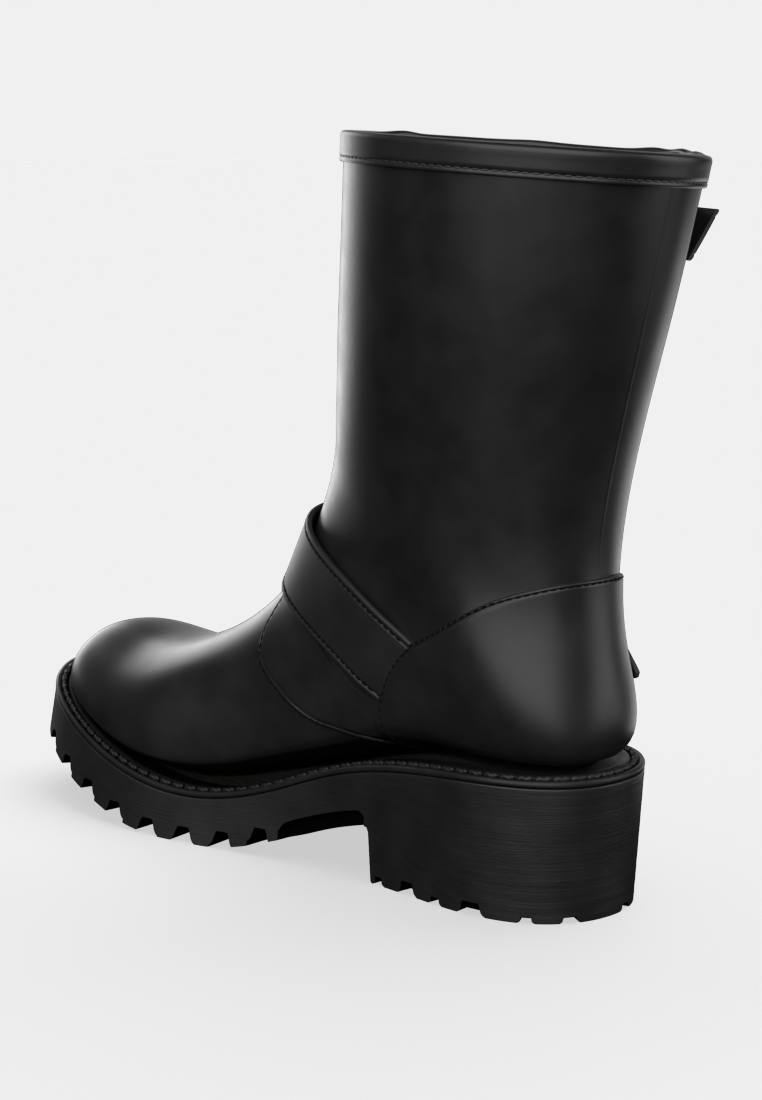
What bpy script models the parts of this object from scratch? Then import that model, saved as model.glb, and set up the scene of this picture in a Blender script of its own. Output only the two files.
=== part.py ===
"""Rubber rain boot: a right boot in the engineer style, with a block heel, a lugged sole,
a strap over the instep and a short strap at the top of the shaft.

Frame: origin at the centre of the heel's tread, on the ground. +X runs to the toe, +Y to the
inner side of the foot, +Z up. The buckles are on the outer side (-Y). The design below is in
millimetres and becomes metres where a mesh or a curve is made.
"""
import math

import bmesh
import bpy
import numpy as np
from mathutils import Matrix, Vector
from mathutils.bvhtree import BVHTree

MM = 0.001
GAP = 0.3                 # clearance between touching pieces

# ---------------------------------------------------------------- driving dimensions, mm
RUBBER_WALL = 2.6         # upper
LINING_WALL = 1.0
OVERLAY_GAP = 0.6         # panels stand this far off the upper
OVERLAY_WALL = 1.2
SEAM_CLEARANCE = 1.3      # between the counter and the pieces ahead of it, along the boot
HEEL_BREAST_X = 45.0      # front face of the heel block
HEEL_TAPER = 3.0          # how much narrower the heel is at the ground
SOLE_FLARE = 2.8          # how much wider the forefoot's tread is than the welt
WELT_WIDTH = 7.2
FOOTBED_THICKNESS = 4.0
BOARD_STEP = 7.0          # how far the filling under the upper is set in from the board's edge
SHANK = {"rear": -8.0, "front": 90.0, "width": 13.0, "thickness": 1.2}
BINDING_HEIGHT = 8.2
INSTEP_STRAP = {"front_width": 29.0, "tail_width": 24.0, "thickness": 2.0}
TOP_STRAP = {"width": 18.0, "thickness": 2.0, "end_slant": 8.0}
WIRE_RADIUS = 1.3         # buckle frames
PRONG_RADIUS = 0.9

# Sections of the upper from the toe tip to the top of the shaft. Each is a ring between a
# front or top point (x, z) and a sole or back point (x, z), with its half-widths to the inner
# and outer side, its middle y, the share of its height where it is widest, how square it is
# below and above that, and how much its inner side is raised.
SECTIONS = (
    (229.4, 49.5, 229.4, 45.3, 0.0, 0.0, 6.0, 0.10, 4.0, 2.0, 0.0),
    (222.0, 58.0, 222.0, 43.8, 17.0, 20.5, 6.0, 0.12, 4.0, 2.0, 0.0),
    (210.0, 66.2, 210.0, 38.8, 28.0, 33.0, 4.0, 0.14, 4.0, 2.1, 0.0),
    (186.0, 64.2, 186.0, 30.6, 39.8, 42.0, 0.0, 0.16, 4.0, 2.1, 0.0),
    (158.0, 68.0, 158.0, 22.8, 41.6, 45.5, 0.0, 0.20, 4.0, 2.1, 0.0),
    (132.8, 79.0, 130.0, 21.8, 36.0, 43.5, 0.0, 0.22, 4.0, 2.1, 0.0),
    (111.8, 94.8, 102.0, 28.0, 31.0, 37.0, 0.0, 0.25, 3.8, 2.1, 0.0),
    (98.8, 113.6, 62.0, 38.8, 29.5, 34.0, 0.0, 0.30, 3.6, 2.1, 0.0),
    (91.0, 132.6, 18.0, 48.4, 30.5, 33.5, 0.0, 0.38, 3.4, 2.1, 0.0),
    (88.2, 143.0, -18.0, 48.9, 31.3, 33.0, 0.0, 0.44, 3.0, 2.1, 0.0),
    (86.4, 151.0, -31.4, 54.0, 32.2, 32.8, 0.0, 0.46, 2.8, 2.1, 0.0),
    (84.8, 160.0, -32.6, 75.0, 33.8, 34.4, 0.0, 0.48, 2.2, 2.1, 0.0),
    (81.7, 174.0, -28.4, 115.0, 36.8, 38.6, 0.0, 0.50, 2.1, 2.1, 0.0),
    (78.4, 192.0, -34.4, 153.0, 41.6, 42.2, 0.0, 0.50, 2.1, 2.1, 0.0),
    (74.4, 218.0, -45.2, 195.0, 46.6, 46.2, 0.0, 0.50, 2.1, 2.1, 0.01),
    (70.6, 254.6, -57.6, 247.0, 50.8, 50.0, 0.0, 0.50, 2.1, 2.1, 0.035),
)
UPPER_MESH = (36, 36)     # rings and sides of the upper's mesh
LINING_MESH = (30, 28)
RING_SPACING = ((0, 0), (0.16, 0.08), (0.28, 0.20), (0.54, 0.54), (0.88, 0.80), (1, 1))
LINING_GAP = 1.1          # the coarser lining's clearance inside the upper
TOE_SECTIONS = 5          # sections that move back as the form shrinks

# Outer edge of the welt, seen from above: the inner side from the rear to the toe, then the
# outer side from the toe to the rear.
WELT_EDGE = (
    (-40, 1), (-37.5, 15), (-28.5, 27.5), (-14, 35), (4, 37.5), (24, 36.3), (48, 34.8),
    (75, 34.2), (100, 36.8), (125, 42), (150, 46), (172, 46.3), (192, 43.3), (209, 38),
    (223, 30.5), (233, 20), (238.5, 7), (237, -8), (229, -23), (215, -36), (196, -46),
    (174, -52), (150, -54), (125, -51.5), (100, -46), (75, -41), (48, -37), (24, -35),
    (4, -34.5), (-14, -32), (-28.5, -24.5), (-37.5, -12),
)
# Height of the groove between the welt and the sole, and of the tread, along the boot (x, z).
GROOVE_LINE = ((-45, 46), (0, 45.9), (25, 43.4), (48, 39.3), (70, 32.8), (92, 24.5), (115, 18.1),
               (138, 16.7), (162, 20.5), (188, 28), (210, 35.5), (226, 41.5), (240, 46))
TREAD_LINE = ((45, 20.8), (60, 16.8), (70, 13.6), (80, 10), (90, 6.8), (100, 3.6), (115, 0.5),
              (140, 0), (158, 1.8), (176, 6.6), (195, 12.3), (212, 18.5), (226, 24), (240, 29))
# Lower edge of the sole's side under the arch, where the middle of the sole stands lower.
ARCH_EDGE = ((46, 26.2), (60, 22.8), (70, 19.8), (80, 16.3), (88, 13))
ARCH_DEPTH = 3.6

# Notches between the lugs. Round the forefoot they are evenly spaced between two places at
# FORE_NOTCH_X. On the heel they are (x, width, height) on both sides, then (y, width, height)
# at the rear.
FORE_NOTCH_X = 96.0
FORE_NOTCHES = 20
HEEL_NOTCHES = ((41, 3.4, 2.2), (26.5, 6.8, 3.8), (12.5, 4.4, 1.7), (-4, 8.4, 3.6), (-24.5, 4, 1.5))
REAR_NOTCHES = ((19, 5.5, 1.5), (-8, 5, 1.6))

# Heel counter: height of its top seam against the angle round the heel's axis, degrees from
# the toe, and its front edge as (angle, height).
COUNTER_SEAM = ((50, 87), (72, 95), (98, 104), (124, 109), (150, 111.6), (180, 112.2))
COUNTER_FRONT = ((30, 49), (32.5, 60), (35, 68), (40, 78), (50, 87))
COUNTER_BOTTOM = ((30, 49), (60, 51.2), (100, 52), (180, 52.4))

# Saddle panels in side view (x, z): lower edge, front edge, top edge under the strap, rear.
# The rear edge runs beside the counter's front edge, from SADDLE_FOOT up to the first height.
SADDLE_FOOT = 49.0
SADDLE_LOWER = ((57, 49.4), (65, 50.2), (74, 51), (83, 53.6), (94, 59.5), (103, 66))
SADDLE_FRONT = ((103, 66), (107.5, 71.5), (108.5, 78), (105, 88), (97, 100))
SADDLE_INNER_TOP = (62.6, ((58, 68), (70, 77), (84, 88), (97, 100)))
SADDLE_OUTER_TOP = (80.6, ((50, 84), (66, 88), (82, 93.5), (97, 100)))

# Instep strap: the heights of the edge that is sewn beside the counter, then the middle of the
# strap as (angle round STRAP_AXIS_X in degrees, z), from the inner side to the outer side.
STRAP_SEWN_EDGE = (64.2, 86.8)
STRAP_AXIS_X = 40.0
STRAP_ROUTE = ((104, 74), (84, 81.5), (70, 86.2), (56, 91), (43, 95.8), (32, 100.2), (16, 106.8),
               (0, 110.8), (-18, 109), (-34, 104.8), (-52, 99.4))
# The same angles with the height of the strap's underside over the upper
STRAP_RISE = ((104, 0.6), (80, 1.2), (68, 2.1), (50, 2.4), (0, 2.4), (-52, 2.4))

# Buckles: where the plane of each touches the upper (x, z), the slope of its strap, how far
# behind that point its bar is, and its tail: (distance behind the bar, underside height).
INSTEP_BUCKLE = {"touch": (56.0, 96.2), "slope": 21.0, "bar_behind": 10.0, "reach": 24.0}
TOP_BUCKLE = {"touch": (10.0, 225.0), "slope": 3.6, "bar_behind": 8.0, "reach": 19.0}
INSTEP_TAIL = ((-27, 2.5), (-23, 2.4), (-18, 2.9), (-13, 4.6), (-8, 6.9), (-4, 7.9), (0, 7.95),
               (8, 8.0), (18, 8.1), (26, 7.95), (36, 6.9), (48, 4.6), (63, 1.4))
TOP_TAIL = ((-21, 2.5), (-17, 2.6), (-13, 3.6), (-9, 5.6), (-4, 7.8), (0, 7.95), (6, 7.95),
            (14, 8.0), (20, 7.95), (26, 7.4), (32.5, 6.2))

ACROSS = (-1, -0.67, -0.33, 0, 0.33, 0.67, 1)     # points across a strap

# Stack of each buckle above the plane that touches the upper
CHAPE_UNDERSIDE = 2.0
CHAPE_WALL = 1.2
BAR_HEIGHT = 4.8
REST_HEIGHT = 6.2         # middle of the frame's front side


# ---------------------------------------------------------------- curves and the upper's form
def spline(points):
    """Return a function of x: the natural cubic spline through rows of (x, values...)."""
    rows = np.array(points, float)
    u, y = rows[:, 0], rows[:, 1:]
    if u[0] > u[-1]:
        u, y = u[::-1], y[::-1]
    count = len(u)
    h = np.diff(u)
    system = np.eye(count)
    target = np.zeros_like(y)
    for i in range(1, count - 1):
        system[i, i - 1:i + 2] = h[i - 1], 2 * (h[i - 1] + h[i]), h[i]
        target[i] = 6 * ((y[i + 1] - y[i]) / h[i] - (y[i] - y[i - 1]) / h[i - 1])
    bend = np.linalg.solve(system, target)

    def value(x):
        x = np.atleast_1d(np.asarray(x, float))
        i = np.clip(np.searchsorted(u, x, side="right") - 1, 0, count - 2)
        width = h[i]
        a = ((u[i + 1] - x) / width)[:, None]
        b = ((x - u[i]) / width)[:, None]
        w = (width ** 2 / 6)[:, None]
        return a * y[i] + b * y[i + 1] + ((a ** 3 - a) * bend[i] + (b ** 3 - b) * bend[i + 1]) * w
    return value


def height(points):
    """A spline that returns plain numbers."""
    curve = spline(points)
    return lambda x: curve(x)[:, 0] if np.ndim(x) else float(curve(x)[0, 0])


def along(points, count, crowding=1.0):
    """Points on a smooth curve through the given points, at equal steps of length or, with a
    crowding above 1, closer together at the start."""
    rows = np.array(points, float)
    lengths = np.concatenate([[0], np.cumsum(np.linalg.norm(np.diff(rows, axis=0), axis=1))])
    curve = spline(np.column_stack([lengths / lengths[-1], rows]))
    return curve(np.linspace(0, 1, count) ** crowding)


class Form:
    """The upper's surface, moved inwards by a wall thickness."""

    def __init__(self, inset=0.0):
        rows = np.array(SECTIONS, float)
        front, back = rows[:, 0:2].copy(), rows[:, 2:4].copy()
        axis = front - back
        axis /= np.maximum(np.linalg.norm(axis, axis=1), 1e-9)[:, None]
        axis[0] = (0.0, 1.0)
        rows[:, 0:2] = front - axis * inset
        rows[:, 2:4] = back + axis * inset
        rows[1:, 4:6] -= inset
        for i in range(TOE_SECTIONS):
            share = 1.0 - i / TOE_SECTIONS
            rows[i, 0] -= inset * share
            rows[i, 2] -= inset * share
        self.tip_height = (SECTIONS[0][1] + SECTIONS[0][3]) / 2 + 0.35 * inset
        rows[0, 1] = self.tip_height + 2.0 - 0.25 * inset
        rows[0, 3] = self.tip_height - 2.0 + 0.25 * inset
        mirrored = rows[1:3][::-1].copy()
        mirrored[:, 0:4] = mirrored[:, [2, 3, 0, 1]]
        mirrored[:, 4:6] *= -1
        rows = np.vstack([mirrored, rows])
        step = np.sqrt((np.diff(rows[:, :6], axis=0) ** 2).sum(axis=1) / 2)
        u = np.concatenate([[0], np.cumsum(step)])
        u = (u - u[2]) / (u[-1] - u[2])
        self.curve = spline(np.column_stack([u, rows]))

    def points(self, t, angle):
        """Points at t (0 toe, 1 top) and angle (0 inner, 90 front, 180 outer, 270 back)."""
        t, angle = np.broadcast_arrays(np.asarray(t, float), np.radians(angle))
        shape = t.shape
        t, angle = t.ravel(), angle.ravel()
        fx, fz, bx, bz, inner, outer, mid, share, low, high, raised = self.curve(t).T
        length = np.hypot(fx - bx, fz - bz)
        s, c = np.sin(angle), np.cos(angle)
        power = 2 / np.where(s >= 0, high, low)
        up = np.sign(s) * np.abs(s) ** power
        side = np.sign(c) * np.abs(c) ** power
        along_axis = share * length + up * np.where(s >= 0, 1 - share, share) * length
        y = mid + side * np.where(c >= 0, inner, outer)
        x = bx + (fx - bx) / length * along_axis
        z = bz + (fz - bz) / length * along_axis + raised * y
        return np.stack([x, y, z], axis=-1).reshape(shape + (3,))


def ring_steps(count):
    """Values of t, close together at the toe and behind the heel."""
    return np.interp(np.linspace(0, 1, count), *zip(*RING_SPACING))


class Skin:
    """The upper's outer surface as a fine mesh, for finding places and normals on it."""

    def __init__(self, form, steps, sides):
        t = steps[:, None]
        rings = len(steps)
        angle = np.linspace(0, 360, sides, endpoint=False)[None, :]
        grid = form.points(t, angle)
        index = np.arange(rings * sides).reshape(rings, sides)
        a, b = index[:-1], index[1:]
        a2, b2 = np.roll(a, -1, axis=1), np.roll(b, -1, axis=1)
        faces = np.concatenate([np.stack([a, b, b2], -1).reshape(-1, 3),
                                np.stack([a, b2, a2], -1).reshape(-1, 3)])
        self.points = grid.reshape(-1, 3)
        self.faces = faces
        sides_a = self.points[faces[:, 1]] - self.points[faces[:, 0]]
        sides_b = self.points[faces[:, 2]] - self.points[faces[:, 0]]
        flat = np.cross(sides_a, sides_b)
        normals = np.zeros_like(self.points)
        for corner in range(3):
            np.add.at(normals, faces[:, corner], flat)
        normals /= np.linalg.norm(normals, axis=1)[:, None]
        centre = grid.mean(axis=1, keepdims=True)
        outward = ((grid - centre).reshape(-1, 3) * normals).sum()
        self.normals = normals if outward > 0 else -normals
        self.tree = BVHTree.FromPolygons(self.points.tolist(), faces.tolist())
        self.reach = (-10.0, 208.0)       # where the upper has a flat underside

    def _smooth(self, place, face):
        corners = self.faces[face]
        p = self.points[corners]
        q = np.array(place)
        areas = [np.linalg.norm(np.cross(p[(i + 1) % 3] - q, p[(i + 2) % 3] - q)) for i in range(3)]
        normal = np.array(areas) @ self.normals[corners]
        return q, normal / np.linalg.norm(normal)

    def cast(self, origin, direction):
        """The first place hit, with its normal; a ray that misses starts again a little higher."""
        place = None
        origin = Vector(origin)
        while place is None and origin.z < 300:
            place, _, face, _ = self.tree.ray_cast(origin, Vector(direction))
            origin.z += 0.3
        return self._smooth(place, face)

    def nearest(self, point):
        place, _, face, _ = self.tree.find_nearest(Vector(point))
        return self._smooth(place, face)

    def from_axis(self, axis_x, degrees, z):
        """The place hit by a level ray towards the upright axis at axis_x."""
        a = math.radians(degrees)
        c, s = math.cos(a), math.sin(a)
        return self.cast((axis_x + 120 * c, 120 * s, z), (-c, -s, 0.0))

    def from_side(self, x, z, side):
        """The place hit by a level ray across the boot from side +1, inner, or -1, outer."""
        return self.cast((x, 120.0 * side, z), (0.0, -side, 0.0))


# ---------------------------------------------------------------- Blender objects
def clear_scene():
    for old in list(bpy.data.objects):
        bpy.data.objects.remove(old, do_unlink=True)


def new_collection(name):
    group = bpy.data.collections.new(name)
    bpy.context.scene.collection.children.link(group)
    return group


def material(name, color, roughness, metallic=0.0):
    made = bpy.data.materials.new(name)
    made.use_nodes = True
    shader = made.node_tree.nodes["Principled BSDF"]
    shader.inputs["Base Color"].default_value = (*color, 1.0)
    shader.inputs["Roughness"].default_value = roughness
    shader.inputs["Metallic"].default_value = metallic
    return made


def add_mesh(name, points, faces, look, matrix=None, group=None):
    """A mesh object from points in millimetres, with its faces turned outwards."""
    mesh = bpy.data.meshes.new(name)
    mesh.from_pydata((np.asarray(points, float) * MM).tolist(), [], [list(f) for f in faces])
    mesh.validate()
    turn_outwards(mesh)
    mesh.materials.append(look)
    mesh.shade_smooth()
    mesh.set_sharp_from_angle(angle=math.radians(35))
    made = bpy.data.objects.new(name, mesh)
    (group or PARTS).objects.link(made)
    if matrix is not None:
        made.matrix_world = matrix
    return made


def turn_outwards(mesh):
    """Make every face of a closed mesh point out."""
    edit = bmesh.new()
    edit.from_mesh(mesh)
    bmesh.ops.recalc_face_normals(edit, faces=edit.faces)
    edit.to_mesh(mesh)
    edit.free()


def grid_faces(rows, columns, first=0, wrap=False):
    """Quads over a grid of points that are numbered row by row."""
    faces = []
    for r in range(rows - 1):
        for c in range(columns if wrap else columns - 1):
            d = (c + 1) % columns
            a, b = first + r * columns, first + (r + 1) * columns
            faces.append((a + c, a + d, b + d, b + c))
    return faces


def loft(sections, ends=True, closed=False):
    """Points and faces of a tube through sections, each the same number of points round."""
    grid = np.array(sections, float)
    rows, columns = grid.shape[:2]
    if closed:
        grid = np.concatenate([grid, grid[:1]])
        faces = grid_faces(rows + 1, columns, wrap=True)
        total = rows * columns
        faces = [tuple(i % total for i in face) for face in faces]
        return grid[:-1].reshape(-1, 3), faces
    faces = grid_faces(rows, columns, wrap=True)
    if ends:
        faces.append(tuple(range(columns))[::-1])
        faces.append(tuple(range((rows - 1) * columns, rows * columns)))
    return grid.reshape(-1, 3), faces


def sheet(inner, outer):
    """Points and faces of a closed sheet between two grids of the same size."""
    rows, columns = inner.shape[:2]
    count = rows * columns
    faces = grid_faces(rows, columns) + grid_faces(rows, columns, first=count)
    index = np.arange(count).reshape(rows, columns)
    rim = np.concatenate([index[0, :-1], index[:-1, -1], index[-1, :0:-1], index[:0:-1, 0]])
    for a, b in zip(rim, np.roll(rim, -1)):
        faces.append((int(a), int(b), int(b) + count, int(a) + count))
    return np.concatenate([inner.reshape(-1, 3), outer.reshape(-1, 3)]), faces


def sock(outside, inside, rings, sides):
    """Points and faces of a boot-shaped wall between two forms, open at the top."""
    t = ring_steps(rings)[1:, None]
    angle = np.linspace(0, 360, sides, endpoint=False)[None, :]
    points, faces = [], []
    for form in (outside, inside):
        first = len(points)
        points.append(form.points(0.0, 0.0) * (1, 0, 1) + (0, SECTIONS[0][6], 0))
        points[-1][2] = form.tip_height
        points.extend(form.points(t, angle).reshape(-1, 3))
        faces += [(first, first + 1 + c, first + 1 + (c + 1) % sides) for c in range(sides)]
        faces += grid_faces(rings - 1, sides, first + 1, wrap=True)
    count = len(points) // 2
    rim = count - sides
    for c in range(sides):
        d = (c + 1) % sides
        faces.append((rim + c, rim + d, count + rim + d, count + rim + c))
    return np.array(points), faces


def tube(name, points, radius, look, matrix, cyclic=False, taper=None):
    """A round rod or ring through local points in millimetres."""
    data = bpy.data.curves.new(name, "CURVE")
    data.dimensions = "3D"
    data.bevel_depth = radius * MM
    data.bevel_resolution = 2
    data.use_fill_caps = True
    path = data.splines.new("POLY")
    path.points.add(len(points) - 1)
    for i, point in enumerate(points):
        path.points[i].co = (*[v * MM for v in point], 1.0)
        path.points[i].radius = 1.0 if taper is None else taper[i]
    path.use_cyclic_u = cyclic
    data.materials.append(look)
    made = bpy.data.objects.new(name, data)
    PARTS.objects.link(made)
    made.matrix_world = matrix
    return made


def cut(target, cutter):
    """Subtract one mesh object from another."""
    cutter.hide_render = True
    cutter.display_type = "WIRE"
    step = target.modifiers.new(cutter.name, "BOOLEAN")
    step.operation = "DIFFERENCE"
    step.solver = "EXACT"
    step.object = cutter


def block(middle, along_dir, across_dir, length, bottom, top):
    """Eight corners of a bar: bottom and top are (z, half width); it runs along along_dir."""
    corners = []
    for z, half in (bottom, top):
        for end, side in ((-1, -1), (1, -1), (1, 1), (-1, 1)):
            xy = np.array(middle) + np.array(along_dir) * end * length / 2
            xy = xy + np.array(across_dir) * side * half
            corners.append((xy[0], xy[1], z))
    return corners


BLOCK_FACES = ((0, 3, 2, 1), (4, 5, 6, 7), (0, 1, 5, 4), (1, 2, 6, 5), (2, 3, 7, 6), (3, 0, 4, 7))


# ---------------------------------------------------------------- sole
class Outline:
    """The welt's outer edge from above, and curves at a distance from it."""

    def __init__(self):
        edge = np.array(WELT_EDGE, float)
        wrapped = np.vstack([edge[-3:], edge, edge[:4]])
        steps = np.concatenate([[0], np.cumsum(np.linalg.norm(np.diff(wrapped, axis=0), axis=1))])
        steps -= steps[3]
        self.length = steps[3 + len(edge)]
        self.curve = spline(np.column_stack([steps, wrapped]))

    def at(self, s, offset=0.0):
        """Points and outward directions at arc lengths s."""
        s = np.atleast_1d(s)
        place = self.curve(s)
        run = self.curve(s + 0.2) - self.curve(s - 0.2)
        run /= np.linalg.norm(run, axis=1)[:, None]
        out = np.column_stack([-run[:, 1], run[:, 0]])
        return place + out * np.reshape(offset, (-1, 1)), out

    def sides(self, x_values, offset=0.0):
        """Inner and outer y of the offset edge at each x."""
        s = np.linspace(0, self.length, 1200)
        place, _ = self.at(s, offset)
        toe = place[:, 0].argmax()
        rear = place[:, 0].argmin()
        if rear > toe:
            place = np.roll(place, -rear, axis=0)
            toe = place[:, 0].argmax()
        inner, outer = place[:toe + 1], place[toe:]
        y_inner = np.interp(x_values, inner[:, 0], inner[:, 1])
        y_outer = np.interp(x_values, outer[::-1, 0], outer[::-1, 1])
        return y_inner, y_outer

    def reach(self, offset=0.0):
        place, _ = self.at(np.linspace(0, self.length, 1200), offset)
        return place[:, 0].min(), place[:, 0].max()


def crowded_ends(low, high, count):
    """Values from low to high, closer together at both ends."""
    turn = np.linspace(0.03, math.pi - 0.03, count)
    return (low + high) / 2 - (high - low) / 2 * np.cos(turn)


def stepped_board(outline, skin, groove, count):
    """The insole board: a flat slab inside the welt with a narrower filling on it that reaches
    the upper."""
    low, high = outline.reach(-WELT_WIDTH - 0.6)
    xs = crowded_ends(low, high, count)
    y_inner, y_outer = outline.sides(xs, -WELT_WIDTH - 0.6)
    sections = []
    for x, a, b in zip(xs, y_inner, y_outer):
        z0, z1 = groove(x) + GAP / 2, groove(x) + 1.5
        middle = (a + b) / 2
        if skin.reach[0] < x < skin.reach[1]:
            upper_z = skin.cast((x, middle, 58.0), (0, 0, -1))[0][2]
        else:
            upper_z = z1
        z2 = max(upper_z - 2.5 * GAP, z1 + 0.1)
        inset = min(BOARD_STEP, (a - b) * 0.3)
        sections.append([(x, a, z0), (x, a, z1), (x, a - inset, z1 + 0.02), (x, a - inset * 1.2, z2),
                         (x, b + inset * 1.2, z2), (x, b + inset, z1 + 0.02), (x, b, z1), (x, b, z0)])
    return loft(sections)


def side_offset(x, share):
    """How far the sole's side stands out from the welt's edge, share 0 at the top, 1 below."""
    blend = min(max((x - 55.0) / 45.0, 0.0), 1.0)
    blend = blend * blend * (3 - 2 * blend)
    return share * (SOLE_FLARE * blend - HEEL_TAPER * (1 - blend))


def sole_body(outline):
    """The sole and heel without their notches."""
    groove, tread = height(GROOVE_LINE), height(TREAD_LINE)
    low, high = outline.reach()
    xs = list(crowded_ends(low, high, 46))
    xs = [x for x in xs if abs(x - HEEL_BREAST_X) > 3.5]
    xs = sorted(xs + [HEEL_BREAST_X, HEEL_BREAST_X + 1.5])
    s = np.linspace(0, outline.length, 2400)
    edge, out = outline.at(s)
    toe, rear = edge[:, 0].argmax(), edge[:, 0].argmin()
    edge, out = np.roll(edge, -rear, axis=0), np.roll(out, -rear, axis=0)
    toe = (toe - rear) % len(s)
    halves = ((edge[:toe + 1], out[:toe + 1]), (edge[:toe - 1:-1], out[:toe - 1:-1]))
    shares = (0.0, 0.12, 0.55, 1.0)
    sections = []
    for x in xs:
        z_top = groove(x) - GAP / 2
        z_low = 0.0 if x <= HEEL_BREAST_X else max(tread(x), 0.0)
        half_rings = []
        for places, outs in halves:
            foot = np.array([np.interp(x, places[:, 0], places[:, k]) for k in (0, 1)])
            away = np.array([np.interp(x, places[:, 0], outs[:, k]) for k in (0, 1)])
            away /= np.linalg.norm(away)
            ring = []
            for share in shares:
                xy = foot + away * side_offset(x, share)
                ring.append((xy[0], xy[1], z_top + (z_low - z_top) * share))
            half_rings.append(ring)
        sections.append(half_rings[0] + half_rings[1][::-1])
    return loft(sections)


def notch_bars(outline):
    """Cutters for the notches between the lugs, as one list of eight-cornered bars."""
    tread = height(TREAD_LINE)
    s = np.linspace(0, outline.length, 1600, endpoint=False)
    edge, out = outline.at(s)
    bars = []

    def bar(index, depth, wide, narrow, low, high_z):
        centre, away = edge[index], out[index]
        middle = centre + away * (6 - depth / 2)
        across = (-away[1], away[0])
        bars.append(block(middle, away, across, depth + 12, (low, wide / 2), (high_z, narrow / 2)))

    def nearest(axis, value, usable):
        return min(np.nonzero(usable)[0], key=lambda i: abs(edge[i, axis] - value))

    first = nearest(0, FORE_NOTCH_X, edge[:, 1] > 3)
    last = nearest(0, FORE_NOTCH_X, edge[:, 1] < 3)
    for index in np.linspace(first, last, FORE_NOTCHES).astype(int):
        z = max(tread(edge[index, 0]), 0.0)
        bar(index, 21 if edge[index, 0] < 200 else 13, 9.2, 5.6, z - 6, z + 4.4)
    for x, wide, deep in HEEL_NOTCHES:
        for usable in (edge[:, 1] > 3, edge[:, 1] < 3):
            bar(nearest(0, x, usable), 9, wide + 3, wide - 1, -4, deep)
    for y, wide, deep in REAR_NOTCHES:
        bar(nearest(1, y, edge[:, 0] < 0), 9, wide + 2, wide - 1, -4, deep)
    return bars


def arch_rebates(outline):
    """Cutters that set the sole's lower edge back under the arch, one for each side."""
    edge_height = height(ARCH_EDGE)
    xs = np.linspace(46.8, 87.0, 9)
    near = outline.sides(xs, -ARCH_DEPTH)
    far = outline.sides(xs, 9.0)
    cutters = []
    for inside, outside in zip(near, far):
        sections = []
        for x, a, b in zip(xs, inside, outside):
            z = edge_height(x)
            sections.append([(x, a, 1.0), (x, a, z), (x, b, z), (x, b, 1.0)])
        cutters.append(loft(sections))
    return cutters


def centre_bars():
    """Cutters for the chevron grooves under the ball and across the heel."""
    tread = height(TREAD_LINE)
    bars = []
    for x in (105, 125, 145, 165, 186):
        z = max(tread(x), 0.0)
        for side in (1, -1):
            turn = math.radians(90 - side * 28)
            direction = (math.cos(turn), math.sin(turn))
            across = (-direction[1], direction[0])
            middle = (x, side * 9.5)
            bars.append(block(middle, direction, across, 13, (z - 5, 2.0), (z + 2.6, 1.6)))
    for x in (-16, 16):
        bars.append(block((x, 0), (0, 1), (1, 0), 26, (-3, 2.0), (2.2, 1.6)))
    return bars


def bars_mesh(bars):
    points, faces = [], []
    for corners in bars:
        first = len(points)
        points += corners
        faces += [tuple(first + i for i in face) for face in BLOCK_FACES]
    return points, faces


def ribbon(rear, front, width, bottom, top, count):
    """A strip along the middle of the sole, following its curve."""
    sections = []
    for x in np.linspace(rear, front, count):
        low, high = bottom(x), top(x)
        half = width / 2
        sections.append([(x, half, low), (x, half, high), (x, -half, high), (x, -half, low)])
    return loft(sections)


def build_sole(outline, skin):
    groove = height(GROOVE_LINE)
    sole = add_mesh("outsole", *sole_body(outline), material("sole_rubber", (0.022,) * 3, 0.5))
    notches = add_mesh("notch_cutter", *bars_mesh(notch_bars(outline)), CUTTER_LOOK, group=CUTTERS)
    grooves = add_mesh("groove_cutter", *bars_mesh(centre_bars()), CUTTER_LOOK, group=CUTTERS)
    deep = SHANK["thickness"] + GAP
    pocket = ribbon(SHANK["rear"] - GAP, SHANK["front"] + GAP, SHANK["width"] + 2 * GAP,
                    lambda x: groove(x) - deep - GAP, lambda x: groove(x) + 2.0, 14)
    pocket = add_mesh("shank_pocket_cutter", *pocket, CUTTER_LOOK, group=CUTTERS)
    rebates = [add_mesh("arch_cutter_" + side, *shape, CUTTER_LOOK, group=CUTTERS)
               for side, shape in zip(("inner", "outer"), arch_rebates(outline))]
    for cutter in (notches, grooves, pocket, *rebates):
        cut(sole, cutter)
    shank = ribbon(SHANK["rear"], SHANK["front"], SHANK["width"],
                   lambda x: groove(x) - deep, lambda x: groove(x) - GAP, 14)
    add_mesh("shank", *shank, material("shank_steel", (0.55, 0.56, 0.58), 0.35, 1.0))

    profile = ((0.0, 0.15), (0.0, 1.7), (-0.9, 2.5), (-2.4, 2.5), (-2.8, 1.7), (-4.5, 1.7),
               (-4.9, 2.4), (-6.0, 2.7), (-7.2, 2.0), (-7.2, 0.15))
    sections = []
    for place, away in zip(*outline.at(np.linspace(0, outline.length, 68, endpoint=False))):
        ring = []
        for out, rise in profile:
            x, y = place + away * out
            ring.append((x, y, groove(x) + rise))
        sections.append(ring)
    add_mesh("welt", *loft(sections, closed=True), material("welt_rubber", (0.02,) * 3, 0.42))

    board = stepped_board(outline, skin, groove, 40)
    add_mesh("insole_board", *board, material("insole_board", (0.05, 0.045, 0.04), 0.9))


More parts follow.
